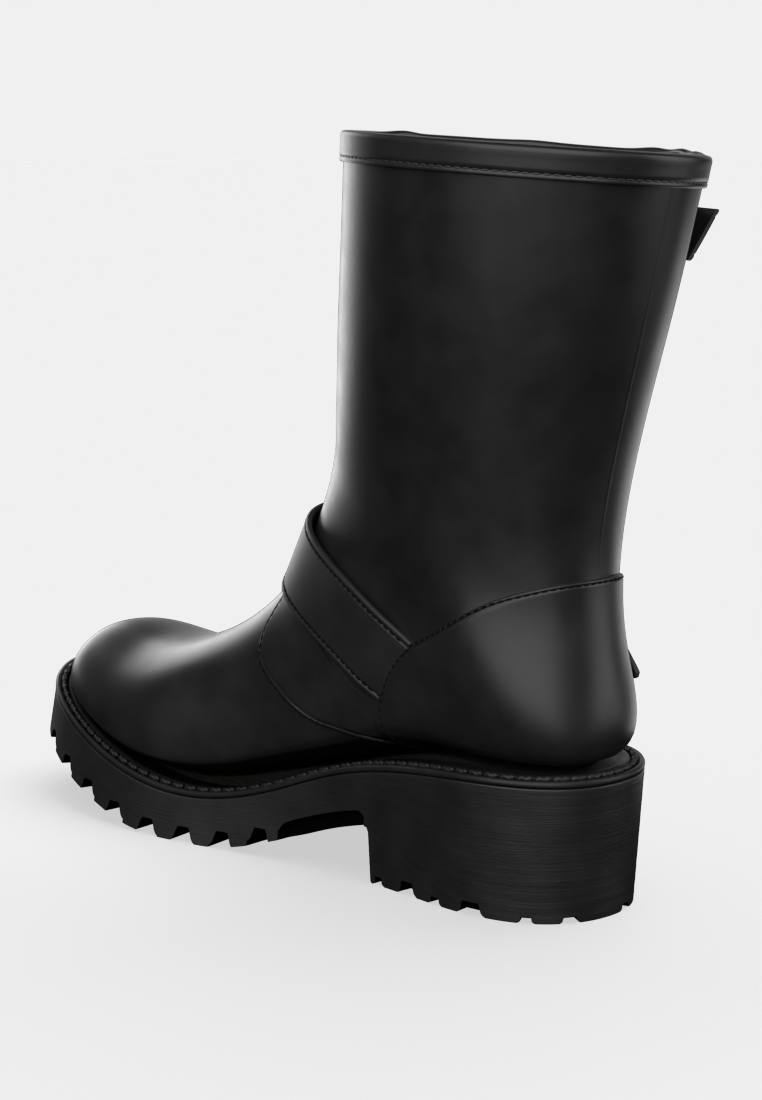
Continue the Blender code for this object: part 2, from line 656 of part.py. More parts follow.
# ---------------------------------------------------------------- upper
def build_upper(form):
    inside = Form(RUBBER_WALL)
    add_mesh("upper", *sock(form, inside, *UPPER_MESH), material("upper_rubber", (0.016,) * 3, 0.33))
    lining = Form(RUBBER_WALL + LINING_GAP)
    lining_inside = Form(RUBBER_WALL + LINING_GAP + LINING_WALL)
    add_mesh("lining", *sock(lining, lining_inside, *LINING_MESH),
             material("lining_textile", (0.03,) * 3, 0.95))
    return Skin(lining_inside, ring_steps(LINING_MESH[0])[1:], LINING_MESH[1])


def build_footbed(inner_skin):
    """The removable insole: a slab that fills the lining's floor."""
    sections = []
    for x in crowded_ends(-25.5, 211.5, 44):
        floor = inner_skin.cast((x, 2.0, 58.0 if x < 180 else 52.0), (0, 0, -1))[0][2]
        ring = []
        levels = ((0.6, 1.2), (1.8, 0.9), (FOOTBED_THICKNESS, 0.8))
        for side in (1, -1):
            half = []
            for rise, margin in levels:
                wall = inner_skin.cast((x, 2.0, floor + rise), (0, side, 0))[0][1]
                half.append((x, wall - side * margin, floor + rise))
            ring.append(half)
        sections.append(ring[0] + ring[1][::-1])
    add_mesh("footbed", *loft(sections), material("footbed_foam", (0.05,) * 3, 0.9))


def coons(left, right, bottom, top, columns, rows, crowding=1.0):
    """A grid between four edges: left and right run upwards, bottom and top run across.
    Rows are closer together at the bottom with a crowding above 1."""
    steps = np.linspace(0, 1, rows) ** crowding
    left, right = along(left, rows, crowding), along(right, rows, crowding)
    bottom, top = along(bottom, columns), along(top, columns)
    u = np.linspace(0, 1, columns)[None, :, None]
    v = steps[:, None, None]
    grid = (1 - u) * left[:, None] + u * right[:, None] + (1 - v) * bottom[None] + v * top[None]
    corner = ((1 - u) * (1 - v) * bottom[0] + u * (1 - v) * bottom[-1]
              + (1 - u) * v * top[0] + u * v * top[-1])
    return grid - corner


def raised_panel(places, low, high):
    """A closed sheet over surface places (a grid of (point, normal)), low to high above it."""
    inner = np.array([[p + n * low for p, n in row] for row in places])
    outer = np.array([[p + n * high for p, n in row] for row in places])
    return sheet(inner, outer)


def beside_counter(skin, side, low, high, count):
    """Points (x, z) just ahead of the counter's front edge, between two heights."""
    angle_at = height([(z, angle) for angle, z in COUNTER_FRONT])
    points = []
    for z in np.linspace(low, high, count):
        place, _ = skin.from_axis(0.0, side * angle_at(max(z, COUNTER_FRONT[0][1])), z)
        points.append((place[0] + SEAM_CLEARANCE, z))
    return points


def build_panels(skin):
    look = material("panel_rubber", (0.016,) * 3, 0.35)
    low, high = OVERLAY_GAP, OVERLAY_GAP + OVERLAY_WALL

    def whole(points):
        return [*points, *[(360 - a, z) for a, z in points[-2::-1]]]

    grid = coons(COUNTER_FRONT, [(360 - a, z) for a, z in COUNTER_FRONT],
                 whole(COUNTER_BOTTOM), whole(COUNTER_SEAM), 32, 12, 1.6)
    places = [[skin.from_axis(0.0, a, z) for a, z in row] for row in grid]
    add_mesh("heel_counter", *raised_panel(places, low, high), look)
    for name, side, (corner, top) in (("saddle_inner", 1, SADDLE_INNER_TOP),
                                      ("saddle_outer", -1, SADDLE_OUTER_TOP)):
        rear = beside_counter(skin, side, SADDLE_FOOT, corner, 5)
        grid = coons(rear, SADDLE_FRONT, [rear[0], *SADDLE_LOWER], [rear[-1], *top], 13, 12, 1.5)
        places = [[skin.from_side(x, z, side) for x, z in row] for row in grid]
        add_mesh(name, *raised_panel(places, low, high), look)


def build_binding(form):
    """The band round the top, folded over the upper's and the lining's edges."""
    inward = RUBBER_WALL + LINING_GAP + LINING_WALL
    profile = ((0.4, -BINDING_HEIGHT), (1.3, -BINDING_HEIGHT), (1.6, 0.8 - BINDING_HEIGHT),
               (1.6, 1.2), (0.9, 2.0), (-inward + 0.8, 2.0), (-inward - 0.2, 1.3),
               (-inward - 0.2, 0.6), (0.4, 0.6))
    sections = []
    for angle in np.linspace(0, 360, 54, endpoint=False):
        top, below = form.points(1.0, angle), form.points(0.97, angle)
        ahead, behind = form.points(1.0, angle + 1), form.points(1.0, angle - 1)
        up = (top - below) / np.linalg.norm(top - below)
        out = np.cross(up, ahead - behind)
        out /= np.linalg.norm(out)
        sections.append([top + out * off + up * rise for off, rise in profile])
    look = material("binding_rubber", (0.018,) * 3, 0.38)
    add_mesh("top_binding", *loft(sections, closed=True), look)


# ---------------------------------------------------------------- straps and buckles
class Bench:
    """The flat place where a buckle sits. Its axes are back (along the strap's tail), up the
    strap's width, and out from the boot; its origin is under the bar, on the touching plane."""

    def __init__(self, skin, buckle):
        x, z = buckle["touch"]
        place, out = skin.from_side(x, z, -1)
        slope = math.radians(buckle["slope"])
        back = np.array((-math.cos(slope), 0.0, -math.sin(slope)))
        back -= out * back.dot(out)
        back /= np.linalg.norm(back)
        up = np.cross(out, back)
        if up[2] < 0:
            up = -up
        self.origin = place + back * buckle["bar_behind"]
        self.back, self.up, self.out = back, up, out

    def point(self, s, w, h):
        return self.origin + self.back * s + self.up * w + self.out * h

    def matrix(self, lift=0.0):
        """World matrix of a frame with x ahead, y along the bar and z out."""
        ahead = -self.back
        place = self.point(0, 0, lift) * MM
        columns = np.column_stack([ahead, np.cross(self.out, ahead), self.out, place])
        return Matrix([*columns.tolist(), [0, 0, 0, 1]])


def strap_section(low, high):
    """Round the strap: the points across its underside, then those back over its top."""
    return list(low) + list(high)[::-1]


def lay_strap(skin, rows, thickness):
    """Sections of a strap that follows the upper; rows are (points across, rise)."""
    sections = []
    for across, rise in rows:
        found = [skin.nearest(p) for p in across]
        low = [p + n * rise for p, n in found]
        high = [p + n * (rise + thickness) for p, n in found]
        sections.append(strap_section(low, high))
    return sections


def tail_sections(bench, tail, width, thickness, point_length, slant=0.0):
    """Sections of the straight part through the buckle. It narrows to a tip over the point's
    length, or ends in a cut that is further back at the lower edge by the slant."""
    curve = height(tail)
    end = tail[-1][0]
    stations = [s for s, _ in tail if s < end - max(point_length, slant + 1)]
    if point_length:
        stations += [end - point_length * share for share in (1.0, 0.55, 0.2)]
    stations.append(end)
    sections = []
    for s in stations:
        narrowed = min((end - s) / point_length, 1.0) ** 0.7 if point_length else 1.0
        half = width / 2 * (0.1 + 0.9 * narrowed)
        places = [(s - (slant * (1 - w) / 2 if s == end else 0.0), w * half) for w in ACROSS]
        low = [bench.point(a, w, curve(a)) for a, w in places]
        high = [bench.point(a, w, curve(a) + thickness) for a, w in places]
        sections.append(strap_section(low, high))
    return sections


def strap_holes(bench, tail, slot, holes, name):
    """A cutter for the prong's slot and for the spare holes behind it."""
    curve = height(tail)
    bars = []
    rear, front, width = slot
    sections = []
    for s, w in ((rear, width), (-front, width)):
        sections.append([bench.point(s, -w / 2, 0.6), bench.point(s, w / 2, 0.6),
                         bench.point(s, w / 2, 14), bench.point(s, -w / 2, 14)])
    points, faces = loft(sections)
    points, faces = points.tolist(), list(faces)
    for s in holes:
        h = curve(s)
        first = len(points)
        rings = []
        for level in (h - 3.0, h + 5.0):
            rings.append([bench.point(s + 1.5 * math.cos(a), 1.5 * math.sin(a), level)
                          for a in np.linspace(0, 2 * math.pi, 10, endpoint=False)])
        more, more_faces = loft(rings)
        points += more.tolist()
        faces += [tuple(first + i for i in f) for f in more_faces]
    return add_mesh(name, points, faces, CUTTER_LOOK, group=CUTTERS)


def rounded_rectangle(x0, x1, half, radius, h0, h1):
    """Points of a buckle's wire: x from the bar to the front, h rising from h0 to h1."""
    points = []
    corners = ((x1 - radius, half - radius, 0), (x0 + radius, half - radius, 90),
               (x0 + radius, -half + radius, 180), (x1 - radius, -half + radius, 270))
    for cx, cy, start in corners:
        for turn in (0, 30, 60, 90):
            a = math.radians(start + turn)
            x = cx + radius * math.cos(a)
            y = cy + radius * math.sin(a)
            points.append((x, y, h0 + (h1 - h0) * (x - x0) / (x1 - x0)))
    return points


def build_buckle(prefix, bench, reach, strap, chape_length, keeper_at):
    """Frame, prong, chape and keeper of one buckle. The bar is the frame's rear side."""
    steel = material(prefix + "_steel", (0.35, 0.35, 0.36), 0.28, 1.0)
    rubber = material(prefix + "_rubber", (0.018,) * 3, 0.4)
    pivot = bench.matrix(BAR_HEIGHT)
    strap_width, strap_thickness = strap
    half = strap_width / 2 + 1.2 + WIRE_RADIUS
    rise = REST_HEIGHT - BAR_HEIGHT
    wire = rounded_rectangle(0.0, reach, half, 2.6, 0.0, rise)
    tube(prefix + "_buckle_frame", wire, WIRE_RADIUS, steel, pivot, cyclic=True)

    hook = WIRE_RADIUS + GAP + PRONG_RADIUS
    path = [(hook * math.cos(math.radians(a)), 0.0, hook * math.sin(math.radians(a)))
            for a in range(290, 89, -25)]
    tip_height = rise + WIRE_RADIUS + GAP + PRONG_RADIUS
    path += [(hook * 0.5, 0, hook), (reach * 0.5, 0, (hook + tip_height) / 2 + 0.5),
             (reach * 0.85, 0, tip_height + 0.15), (reach + 0.8, 0, tip_height)]
    taper = [1.0] * (len(path) - 2) + [0.92, 0.75]
    tube(prefix + "_buckle_prong", path, PRONG_RADIUS, steel, pivot, taper=taper)

    inner = WIRE_RADIUS + GAP
    outer = inner + CHAPE_WALL
    low = CHAPE_UNDERSIDE - BAR_HEIGHT
    fold = [(chape_length, low)]
    fold += [(-outer * math.cos(math.radians(a)), outer * math.sin(math.radians(a)))
             for a in range(-90, 91, 30)]
    top_end = chape_length - 5.0
    fold += [(top_end, outer), (top_end, inner)]
    fold += [(-inner * math.cos(math.radians(a)), inner * math.sin(math.radians(a)))
             for a in range(90, -91, -30)]
    fold += [(chape_length, low + CHAPE_WALL)]
    edge = strap_width / 2 - 0.2
    sections = [[bench.point(s, w, BAR_HEIGHT + h) for s, h in fold] for w in (-edge, edge)]
    chape = add_mesh(prefix + "_chape", *loft(sections), rubber)
    slot = PRONG_RADIUS + 0.9
    sides = []
    for s in (-outer - 2, hook + 2.4):
        sides.append([bench.point(s, w, h) for w, h in
                      ((-slot, 0.2), (slot, 0.2), (slot, 12), (-slot, 12))])
    cutter = add_mesh(prefix + "_chape_slot_cutter", *loft(sides), CUTTER_LOOK, group=CUTTERS)
    cut(chape, cutter)

    across = strap_width / 2 + 0.6
    below = BAR_HEIGHT + inner - 0.9
    above = BAR_HEIGHT + outer + GAP + strap_thickness + 0.6
    wall = 1.2
    hole = ((-across, below), (across, below), (across, above), (-across, above))
    outside = ((-across - wall, below - wall + 0.2), (across + wall, below - wall + 0.2),
               (across + wall, above + wall), (-across - wall, above + wall))
    sections = []
    for ring, s in ((hole, keeper_at - 4), (outside, keeper_at - 4),
                    (outside, keeper_at + 4), (hole, keeper_at + 4)):
        sections.append([bench.point(s, w, h) for w, h in ring])
    add_mesh(prefix + "_keeper", *loft(sections, closed=True), rubber)


def build_instep_strap(skin):
    bench = Bench(skin, INSTEP_BUCKLE)
    size = INSTEP_STRAP
    route = height(STRAP_ROUTE)
    rise = height(STRAP_RISE)
    sewn = beside_counter(skin, 1, *STRAP_SEWN_EDGE, len(ACROSS))
    rows = [([skin.from_side(x + 2 * SEAM_CLEARANCE, z, 1)[0] for x, z in sewn], 0.6)]
    for degrees in (80, 70, 61, 53, 46, 39, 32, 25, 18, 11, 4, -4, -11, -18, -25, -32, -39):
        ahead = skin.from_axis(STRAP_AXIS_X, degrees - 3, route(degrees - 3))[0]
        behind = skin.from_axis(STRAP_AXIS_X, degrees + 3, route(degrees + 3))[0]
        place, out = skin.from_axis(STRAP_AXIS_X, degrees, route(degrees))
        run = (ahead - behind) / np.linalg.norm(ahead - behind)
        up = np.cross(run, out)
        up *= np.sign(up[2])
        share = min(max((20 - degrees) / 60, 0), 1)
        half = (size["front_width"] * (1 - share) + size["tail_width"] * share) / 2
        lift = rise(degrees)
        rows.append(([place + up * half * w for w in ACROSS], lift))
    sections = lay_strap(skin, rows, size["thickness"])
    sections += tail_sections(bench, INSTEP_TAIL, size["tail_width"], size["thickness"], 13.0)
    strap = add_mesh("instep_strap", *loft(sections), material("strap_rubber", (0.017,) * 3, 0.36))
    cutter = strap_holes(bench, INSTEP_TAIL, (4.6, 14.5, 4.2), (17, 29, 41), "instep_hole_cutter")
    cut(strap, cutter)
    build_buckle("instep", bench, INSTEP_BUCKLE["reach"], (size["tail_width"], size["thickness"]),
                 30.0, 14.0)


def build_top_strap(skin):
    bench = Bench(skin, TOP_BUCKLE)
    width, thickness = TOP_STRAP["width"], TOP_STRAP["thickness"]
    touch_x, touch_z = TOP_BUCKLE["touch"]
    rows = []
    for x, lift in ((58, 0.8), (52, 1.2), (44, 1.8), (37, 2.2)):
        z = touch_z + (x - touch_x) * 0.06
        place, out = skin.from_side(x, z, -1)
        ahead = skin.from_side(x - 3, z, -1)[0] - place
        up = np.cross(ahead / np.linalg.norm(ahead), out)
        up *= np.sign(up[2])
        rows.append(([place + up * width / 2 * w for w in ACROSS], lift))
    sections = lay_strap(skin, rows, thickness)
    sections += tail_sections(bench, TOP_TAIL, width, thickness, 0.0, TOP_STRAP["end_slant"])
    strap = add_mesh("top_strap", *loft(sections), material("top_strap_rubber", (0.017,) * 3, 0.36))
    cutter = strap_holes(bench, TOP_TAIL, (4.6, 12.0, 4.2), (13, 18.5), "top_hole_cutter")
    cut(strap, cutter)
    build_buckle("top", bench, TOP_BUCKLE["reach"], (width, thickness), 24.0, 12.0)


clear_scene()
PARTS = new_collection("rain_boot")
CUTTERS = new_collection("cutters")
CUTTER_LOOK = material("cutter", (0.8, 0.1, 0.1), 0.5)
UPPER_FORM = Form()
SKIN = Skin(UPPER_FORM, np.linspace(0.0015, 1, 170), 150)
build_sole(Outline(), SKIN)
build_footbed(build_upper(UPPER_FORM))
build_panels(SKIN)
build_binding(UPPER_FORM)
build_instep_strap(SKIN)
build_top_strap(SKIN)
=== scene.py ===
"""Looks of a rubber rain boot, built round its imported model. Lengths are in millimetres in the
boot's frame (X to the toe, Y to the inner side, Z up) and become metres when a mesh is made."""
import math

import bmesh
import bpy
import numpy as np
from mathutils import Matrix, Vector
from mathutils.bvhtree import BVHTree
from mathutils.kdtree import KDTree


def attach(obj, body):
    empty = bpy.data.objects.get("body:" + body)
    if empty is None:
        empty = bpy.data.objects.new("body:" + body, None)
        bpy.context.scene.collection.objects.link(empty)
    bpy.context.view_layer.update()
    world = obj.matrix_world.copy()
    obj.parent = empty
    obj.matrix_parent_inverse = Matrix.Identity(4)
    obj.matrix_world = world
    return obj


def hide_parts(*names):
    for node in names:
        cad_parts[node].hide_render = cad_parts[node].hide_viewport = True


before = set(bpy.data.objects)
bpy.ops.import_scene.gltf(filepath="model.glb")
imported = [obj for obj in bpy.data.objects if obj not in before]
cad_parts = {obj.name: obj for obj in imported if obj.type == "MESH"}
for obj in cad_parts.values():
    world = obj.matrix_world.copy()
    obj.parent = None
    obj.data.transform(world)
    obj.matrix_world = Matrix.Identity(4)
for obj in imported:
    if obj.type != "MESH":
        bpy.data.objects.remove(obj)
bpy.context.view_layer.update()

MM = 0.001
BOOT = "boot"             # the body that every fixed piece rides on

# Photographic set-up
CAMERA_PLACE = (-534.5, 606.8, 252.0)
CAMERA_LENS = 80.0
CAMERA_HEIGHT = 36.0      # of the picture behind the lens
CAMERA_DROP = math.atan(405 / 2444.4)
BACKGROUND = 0.872
FLOOR_REACH = 30.0        # in metres
MIDDLE = Vector((0.06, 0.0, 0.14))              # of the boot, in metres

RECESS = "recess"         # how deep in shade a face lies, 0 to 1
PAINTED_SHADE_SLOPES = (-0.52, -0.26)                    # upward part of a normal: painted shade below, none above
PAINTED_SHADE_LET_OFF = 0.4                              # added to it at the heel, where less shade is painted

# Sizes of the visible pieces
RUBBER_WALL = 2.2         # upper
LINING_INSET = 3.4
LINING_WALL = 1.0
PANEL_LEVELS = {"saddle": 0.95, "counter": 1.3}   # how far the panels stand off the upper
COUNTER_SIZE = (190.0, 56.0)                    # round the heel and up it
SADDLE_SIZE = (62.0, 34.0)
SEAM_IN = 1.35            # stitch line to panel edge
SEAM_STITCH = {"pitch": 3.0, "length": 2.1, "radius": 0.40}
BAND_STITCH = {"pitch": 3.3, "length": 2.3, "radius": 0.32}
WELT_STITCH = {"pitch": 5.9, "length": 5.3, "radius": 1.15}
HEEL_BREAST_X = 45.0
HEEL_TAPER = 3.0
SOLE_FLARE = 2.8
FOOTBED_THICKNESS = 4.0
STRIATION = {"pitch": 1.35, "depth": 0.05}
STRAP_THICKNESS = 2.6
STRAP_FACE = STRAP_THICKNESS - 0.6              # outer face over the underside, without its rims
STRAP_SLOT = 4.2          # width of the slot for the prong
INSTEP_WIDTHS = (29.0, 24.0)
TOP_STRAP_WIDTH = 18.0
TOP_STRAP_SLANT = 10.5    # the top strap's end is cut at a slant
STRAP_SEAM = ((42.9, 64.3), (25.8, 87.0))       # (x, z) where the instep strap is sewn in
STRAP_TUCK = -1.1
# (angle, lift of the strap's lower edge) and (angle, gap under its upper edge)
STRAP_LIFT = ((-38, 2.4), (-16, 1.8), (0, 0.6), (30, 0.5), (52, 0.8), (80, 0.9), (88, 0.4))
STRAP_GAP = ((-38, 0.0), (-10, 0.8), (10, 1.5), (45, 1.6), (70, 0.8), (88, 0.0))
WIRE_RADIUS = 1.35
PRONG_RADIUS = 0.95

# How finely the big pieces are divided
UPPER_RINGS = 300
UPPER_QUARTER = 46        # points in a quarter of a ring
INNER_RINGS = 110         # on the unseen face of the upper
LINING_GRID = (130, 30)   # rings, and points in a quarter of one
RIDGE_LINES = (0.35, 0.7, 1.1)                  # extra lines beside the front and back middle
RIDGE = {"rise": 0.13, "half_width": 0.45}      # moulding line down the front and the back

# Sections of the upper from the toe tip to the top of the shaft. Each is a ring between a
# front or top point (x, z) and a sole or back point (x, z), with its half-widths to the inner
# and outer side, its middle y, the share of its height where it is widest, how square it is
# below and above that, and how much its inner side is raised.
SECTIONS = (
    (229.4, 49.5, 229.4, 45.3, 0.0, 0.0, 6.0, 0.10, 4.0, 2.0, 0.0),
    (222.0, 58.0, 222.0, 43.8, 17.0, 20.5, 6.0, 0.12, 4.0, 2.0, 0.0),
    (210.0, 66.2, 210.0, 38.8, 28.0, 33.0, 4.0, 0.14, 4.0, 2.1, 0.0),
    (186.0, 64.2, 186.0, 30.6, 39.8, 42.0, 0.0, 0.16, 4.0, 2.1, 0.0),
    (158.0, 68.0, 158.0, 22.8, 41.6, 45.5, 0.0, 0.20, 4.0, 2.1, 0.0),
    (132.8, 79.0, 130.0, 21.8, 36.0, 43.5, 0.0, 0.22, 4.0, 2.1, 0.0),
    (111.8, 94.8, 102.0, 28.0, 31.0, 37.0, 0.0, 0.25, 3.8, 2.1, 0.0),
    (98.8, 113.6, 62.0, 38.8, 29.5, 34.0, 0.0, 0.30, 3.6, 2.1, 0.0),
    (91.0, 132.6, 18.0, 48.4, 30.5, 33.5, 0.0, 0.38, 3.4, 2.1, 0.0),
    (88.2, 143.0, -18.0, 48.9, 31.3, 33.0, 0.0, 0.44, 3.0, 2.1, 0.0),
    (86.4, 151.0, -31.4, 54.0, 32.2, 32.8, 0.0, 0.46, 2.8, 2.1, 0.0),
    (84.8, 160.0, -32.6, 75.0, 33.8, 34.4, 0.0, 0.48, 2.2, 2.1, 0.0),
    (81.7, 174.0, -28.4, 115.0, 36.8, 38.6, 0.0, 0.50, 2.1, 2.1, 0.0),
    (78.4, 192.0, -34.4, 153.0, 41.6, 42.2, 0.0, 0.50, 2.1, 2.1, 0.0),
    (74.4, 218.0, -45.2, 195.0, 46.6, 46.2, 0.0, 0.50, 2.1, 2.1, 0.01),
    (70.6, 254.6, -57.6, 247.0, 50.8, 50.0, 0.0, 0.50, 2.1, 2.1, 0.035),
)
TOE_SECTIONS = 5

# Outer edge of the welt, seen from above: the inner side from the rear to the toe, then the
# outer side from the toe to the rear.
WELT_EDGE = (
    (-40, 1), (-37.5, 15), (-28.5, 27.5), (-14, 35), (4, 37.5), (24, 36.3), (48, 34.8),
    (75, 34.2), (100, 36.8), (125, 42), (150, 46), (172, 46.3), (192, 43.3), (209, 38),
    (223, 30.5), (233, 20), (238.5, 7), (237, -8), (229, -23), (215, -36), (196, -46),
    (174, -52), (150, -54), (125, -51.5), (100, -46), (75, -41), (48, -37), (24, -35),
    (4, -34.5), (-14, -32), (-28.5, -24.5), (-37.5, -12),
)
# Height of the groove between the welt and the sole, and of the tread, along the boot (x, z).
GROOVE_LINE = ((-45, 46), (0, 45.9), (25, 43.4), (48, 39.3), (70, 32.8), (92, 24.5), (115, 18.1),
               (138, 16.7), (162, 20.5), (188, 28), (210, 35.5), (226, 41.5), (240, 46))
TREAD_LINE = ((45, 20.8), (60, 16.8), (70, 13.6), (80, 10), (90, 6.8), (100, 3.6), (115, 0.5),
              (140, 0), (158, 1.8), (176, 6.6), (195, 12.3), (212, 18.5), (226, 24), (240, 29))
# Lower edge of the sole's side under the arch, where the middle of the sole stands lower.
ARCH_EDGE = ((46, 26.2), (60, 22.8), (70, 19.8), (80, 16.3), (88, 13))
ARCH_DEPTH = 3.6
ARCH_SPAN = (47.0, 87.5)

# Notches between the lugs. Round the forefoot they are evenly spaced between two places at
# FORE_NOTCH_X. On the heel they are (x, width, height) on both sides, then (y, width, height)
# at the rear.
FORE_NOTCH_X = 96.0
FORE_NOTCHES = 20
HEEL_NOTCHES = ((41, 3.4, 2.2), (26.5, 6.8, 3.8), (12.5, 4.4, 1.7), (-4, 8.4, 3.6), (-24.5, 4, 1.5))
REAR_NOTCHES = ((19, 5.5, 1.5), (-8, 5, 1.6))
NOTCH_ROOT = {"fore": (8.2, 5.4, 5.6), "narrowing": 0.8}    # width, inner width, height
TREAD_GROOVES = (105, 125, 145, 165, 186)       # x of the pairs in the middle of the forefoot
HEEL_GROOVES = (-16, 16)

# Heel counter: height of its top seam against the angle round the heel's axis, degrees from
# the toe, and its front edge as (angle, height).
COUNTER_SEAM = ((50, 87), (72, 95), (98, 104), (124, 109), (150, 111.6), (180, 112.2))
COUNTER_FRONT = ((30, 49), (32.5, 60), (35, 68), (40, 78), (50, 87))
COUNTER_BOTTOM = ((30, 49), (60, 51.2), (100, 52), (180, 52.4))

# Saddle panels in side view (x, z): lower edge, front edge, top edge under the strap, rear.
# The rear edge runs beside the counter's front edge, from SADDLE_FOOT up to the first height.
SADDLE_FOOT = 49.0
SADDLE_LOWER = ((57, 49.4), (65, 50.2), (74, 51), (83, 53.6), (94, 59.5), (103, 66))
SADDLE_FRONT = ((103, 66), (107.5, 71.5), (108.5, 78), (105, 88), (97, 100))
SADDLE_INNER_TOP = (62.6, ((58, 68), (70, 77), (84, 88), (97, 100)))
SADDLE_OUTER_TOP = (80.6, ((50, 84), (66, 88), (82, 93.5), (97, 100)))

# Middle of the instep strap as (angle round STRAP_AXIS_X in degrees, z), from the inner side to
# the outer side.
STRAP_AXIS_X = 40.0
STRAP_ROUTE = ((104, 74), (84, 81.5), (70, 86.2), (56, 91), (43, 95.8), (32, 100.2), (16, 106.8),
               (0, 110.8), (-18, 109), (-34, 104.8), (-52, 99.4))

# Buckles: where the plane of each touches the upper (x, z), the slope of its strap, how far
# behind that point its bar is, how far ahead its frame reaches, the length of its chape and the
# place of its keeper behind the bar. A tail is (distance behind the bar, underside height).
INSTEP_BUCKLE = {"touch": (56.0, 96.2), "slope": 21.0, "bar_behind": 10.0, "reach": 24.0,
                 "chape": 30.0, "keeper": 14.0}
TOP_BUCKLE = {"touch": (10.0, 225.0), "slope": 3.6, "bar_behind": 8.0, "reach": 19.0,
              "chape": 24.0, "keeper": 12.0}
INSTEP_TAIL = ((-27, 2.5), (-23, 2.4), (-18, 2.9), (-13, 4.6), (-8, 6.9), (-4, 7.9), (0, 7.95),
               (8, 8.0), (18, 8.1), (26, 7.95), (36, 6.9), (48, 4.6), (63, 1.4))
TOP_TAIL = ((-21, 2.5), (-17, 2.6), (-13, 3.6), (-9, 5.6), (-4, 7.8), (0, 7.95), (6, 7.95),
            (14, 8.0), (20, 7.95), (26, 7.4), (32.5, 6.2))
# Holes behind the bar, and the front of the top strap as (x, lift off the upper)
INSTEP_HOLES = (17, 29, 41)
TOP_HOLES = (13, 18.5)
TOP_STRAP_ROUTE = ((58, 0.6), (52, 1.1), (44, 1.8), (37, 2.2))

CHAPE_UNDERSIDE = 2.0
CHAPE_WALL = 1.2
BAR_HEIGHT = 4.8
BAR_GAP = 0.25            # between the bar and what turns on it
REST_GAP = 0.3            # between the chape and the strap, and the frame and the prong
FRAME_GAP = 1.2           # between the strap's edge and the frame
REST_HEIGHT = 6.2


# ---------------------------------------------------------------- curves and forms
def spline(points):
    """Return a function of x: the natural cubic spline through rows of (x, values...)."""
    rows = np.array(points, float)
    u, y = rows[:, 0], rows[:, 1:]
    if u[0] > u[-1]:
        u, y = u[::-1], y[::-1]
    count = len(u)
    h = np.diff(u)
    system = np.eye(count)
    target = np.zeros_like(y)
    for i in range(1, count - 1):
        system[i, i - 1:i + 2] = h[i - 1], 2 * (h[i - 1] + h[i]), h[i]
        target[i] = 6 * ((y[i + 1] - y[i]) / h[i] - (y[i] - y[i - 1]) / h[i - 1])
    bend = np.linalg.solve(system, target)

    def value(x):
        x = np.atleast_1d(np.asarray(x, float))
        i = np.clip(np.searchsorted(u, x, side="right") - 1, 0, count - 2)
        width = h[i]
        a = ((u[i + 1] - x) / width)[:, None]
        b = ((x - u[i]) / width)[:, None]
        w = (width ** 2 / 6)[:, None]
        return a * y[i] + b * y[i + 1] + ((a ** 3 - a) * bend[i] + (b ** 3 - b) * bend[i + 1]) * w
    return value


def height(points):
    """A spline that returns plain numbers."""
    curve = spline(points)
    return lambda x: curve(x)[:, 0] if np.ndim(x) else float(curve(x)[0, 0])


class Form:
    """The upper's surface, moved inwards by a wall thickness."""

    def __init__(self, inset=0.0):
        rows = np.array(SECTIONS, float)
        front, back = rows[:, 0:2].copy(), rows[:, 2:4].copy()
        axis = front - back
        axis /= np.maximum(np.linalg.norm(axis, axis=1), 1e-9)[:, None]
        axis[0] = (0.0, 1.0)
        rows[:, 0:2] = front - axis * inset
        rows[:, 2:4] = back + axis * inset
        rows[1:, 4:6] -= inset
        for i in range(TOE_SECTIONS):
            share = 1.0 - i / TOE_SECTIONS
            rows[i, 0] -= inset * share
            rows[i, 2] -= inset * share
        self.tip_height = (SECTIONS[0][1] + SECTIONS[0][3]) / 2 + 0.35 * inset
        rows[0, 1] = self.tip_height + 2.0 - 0.25 * inset
        rows[0, 3] = self.tip_height - 2.0 + 0.25 * inset
        mirrored = rows[1:3][::-1].copy()
        mirrored[:, 0:4] = mirrored[:, [2, 3, 0, 1]]
        mirrored[:, 4:6] *= -1
        rows = np.vstack([mirrored, rows])
        step = np.sqrt((np.diff(rows[:, :6], axis=0) ** 2).sum(axis=1) / 2)
        u = np.concatenate([[0], np.cumsum(step)])
        u = (u - u[2]) / (u[-1] - u[2])
        self.curve = spline(np.column_stack([u, rows]))

    def points(self, t, angle):
        """Points at t (0 toe, 1 top) and angle (0 inner, 90 front, 180 outer, 270 back)."""
        t, angle = np.broadcast_arrays(np.asarray(t, float), np.radians(angle))
        shape = t.shape
        t, angle = t.ravel(), angle.ravel()
        fx, fz, bx, bz, inner, outer, mid, share, low, high, raised = self.curve(t).T
        length = np.hypot(fx - bx, fz - bz)
        s, c = np.sin(angle), np.cos(angle)
        power = 2 / np.where(s >= 0, high, low)
        up = np.sign(s) * np.abs(s) ** power
        side = np.sign(c) * np.abs(c) ** power
        along_axis = share * length + up * np.where(s >= 0, 1 - share, share) * length
        y = mid + side * np.where(c >= 0, inner, outer)
        x = bx + (fx - bx) / length * along_axis
        z = bz + (fz - bz) / length * along_axis + raised * y
        return np.stack([x, y, z], axis=-1).reshape(shape + (3,))


OUTSIDE = 120.0           # a distance from the middle that lies well outside the boot


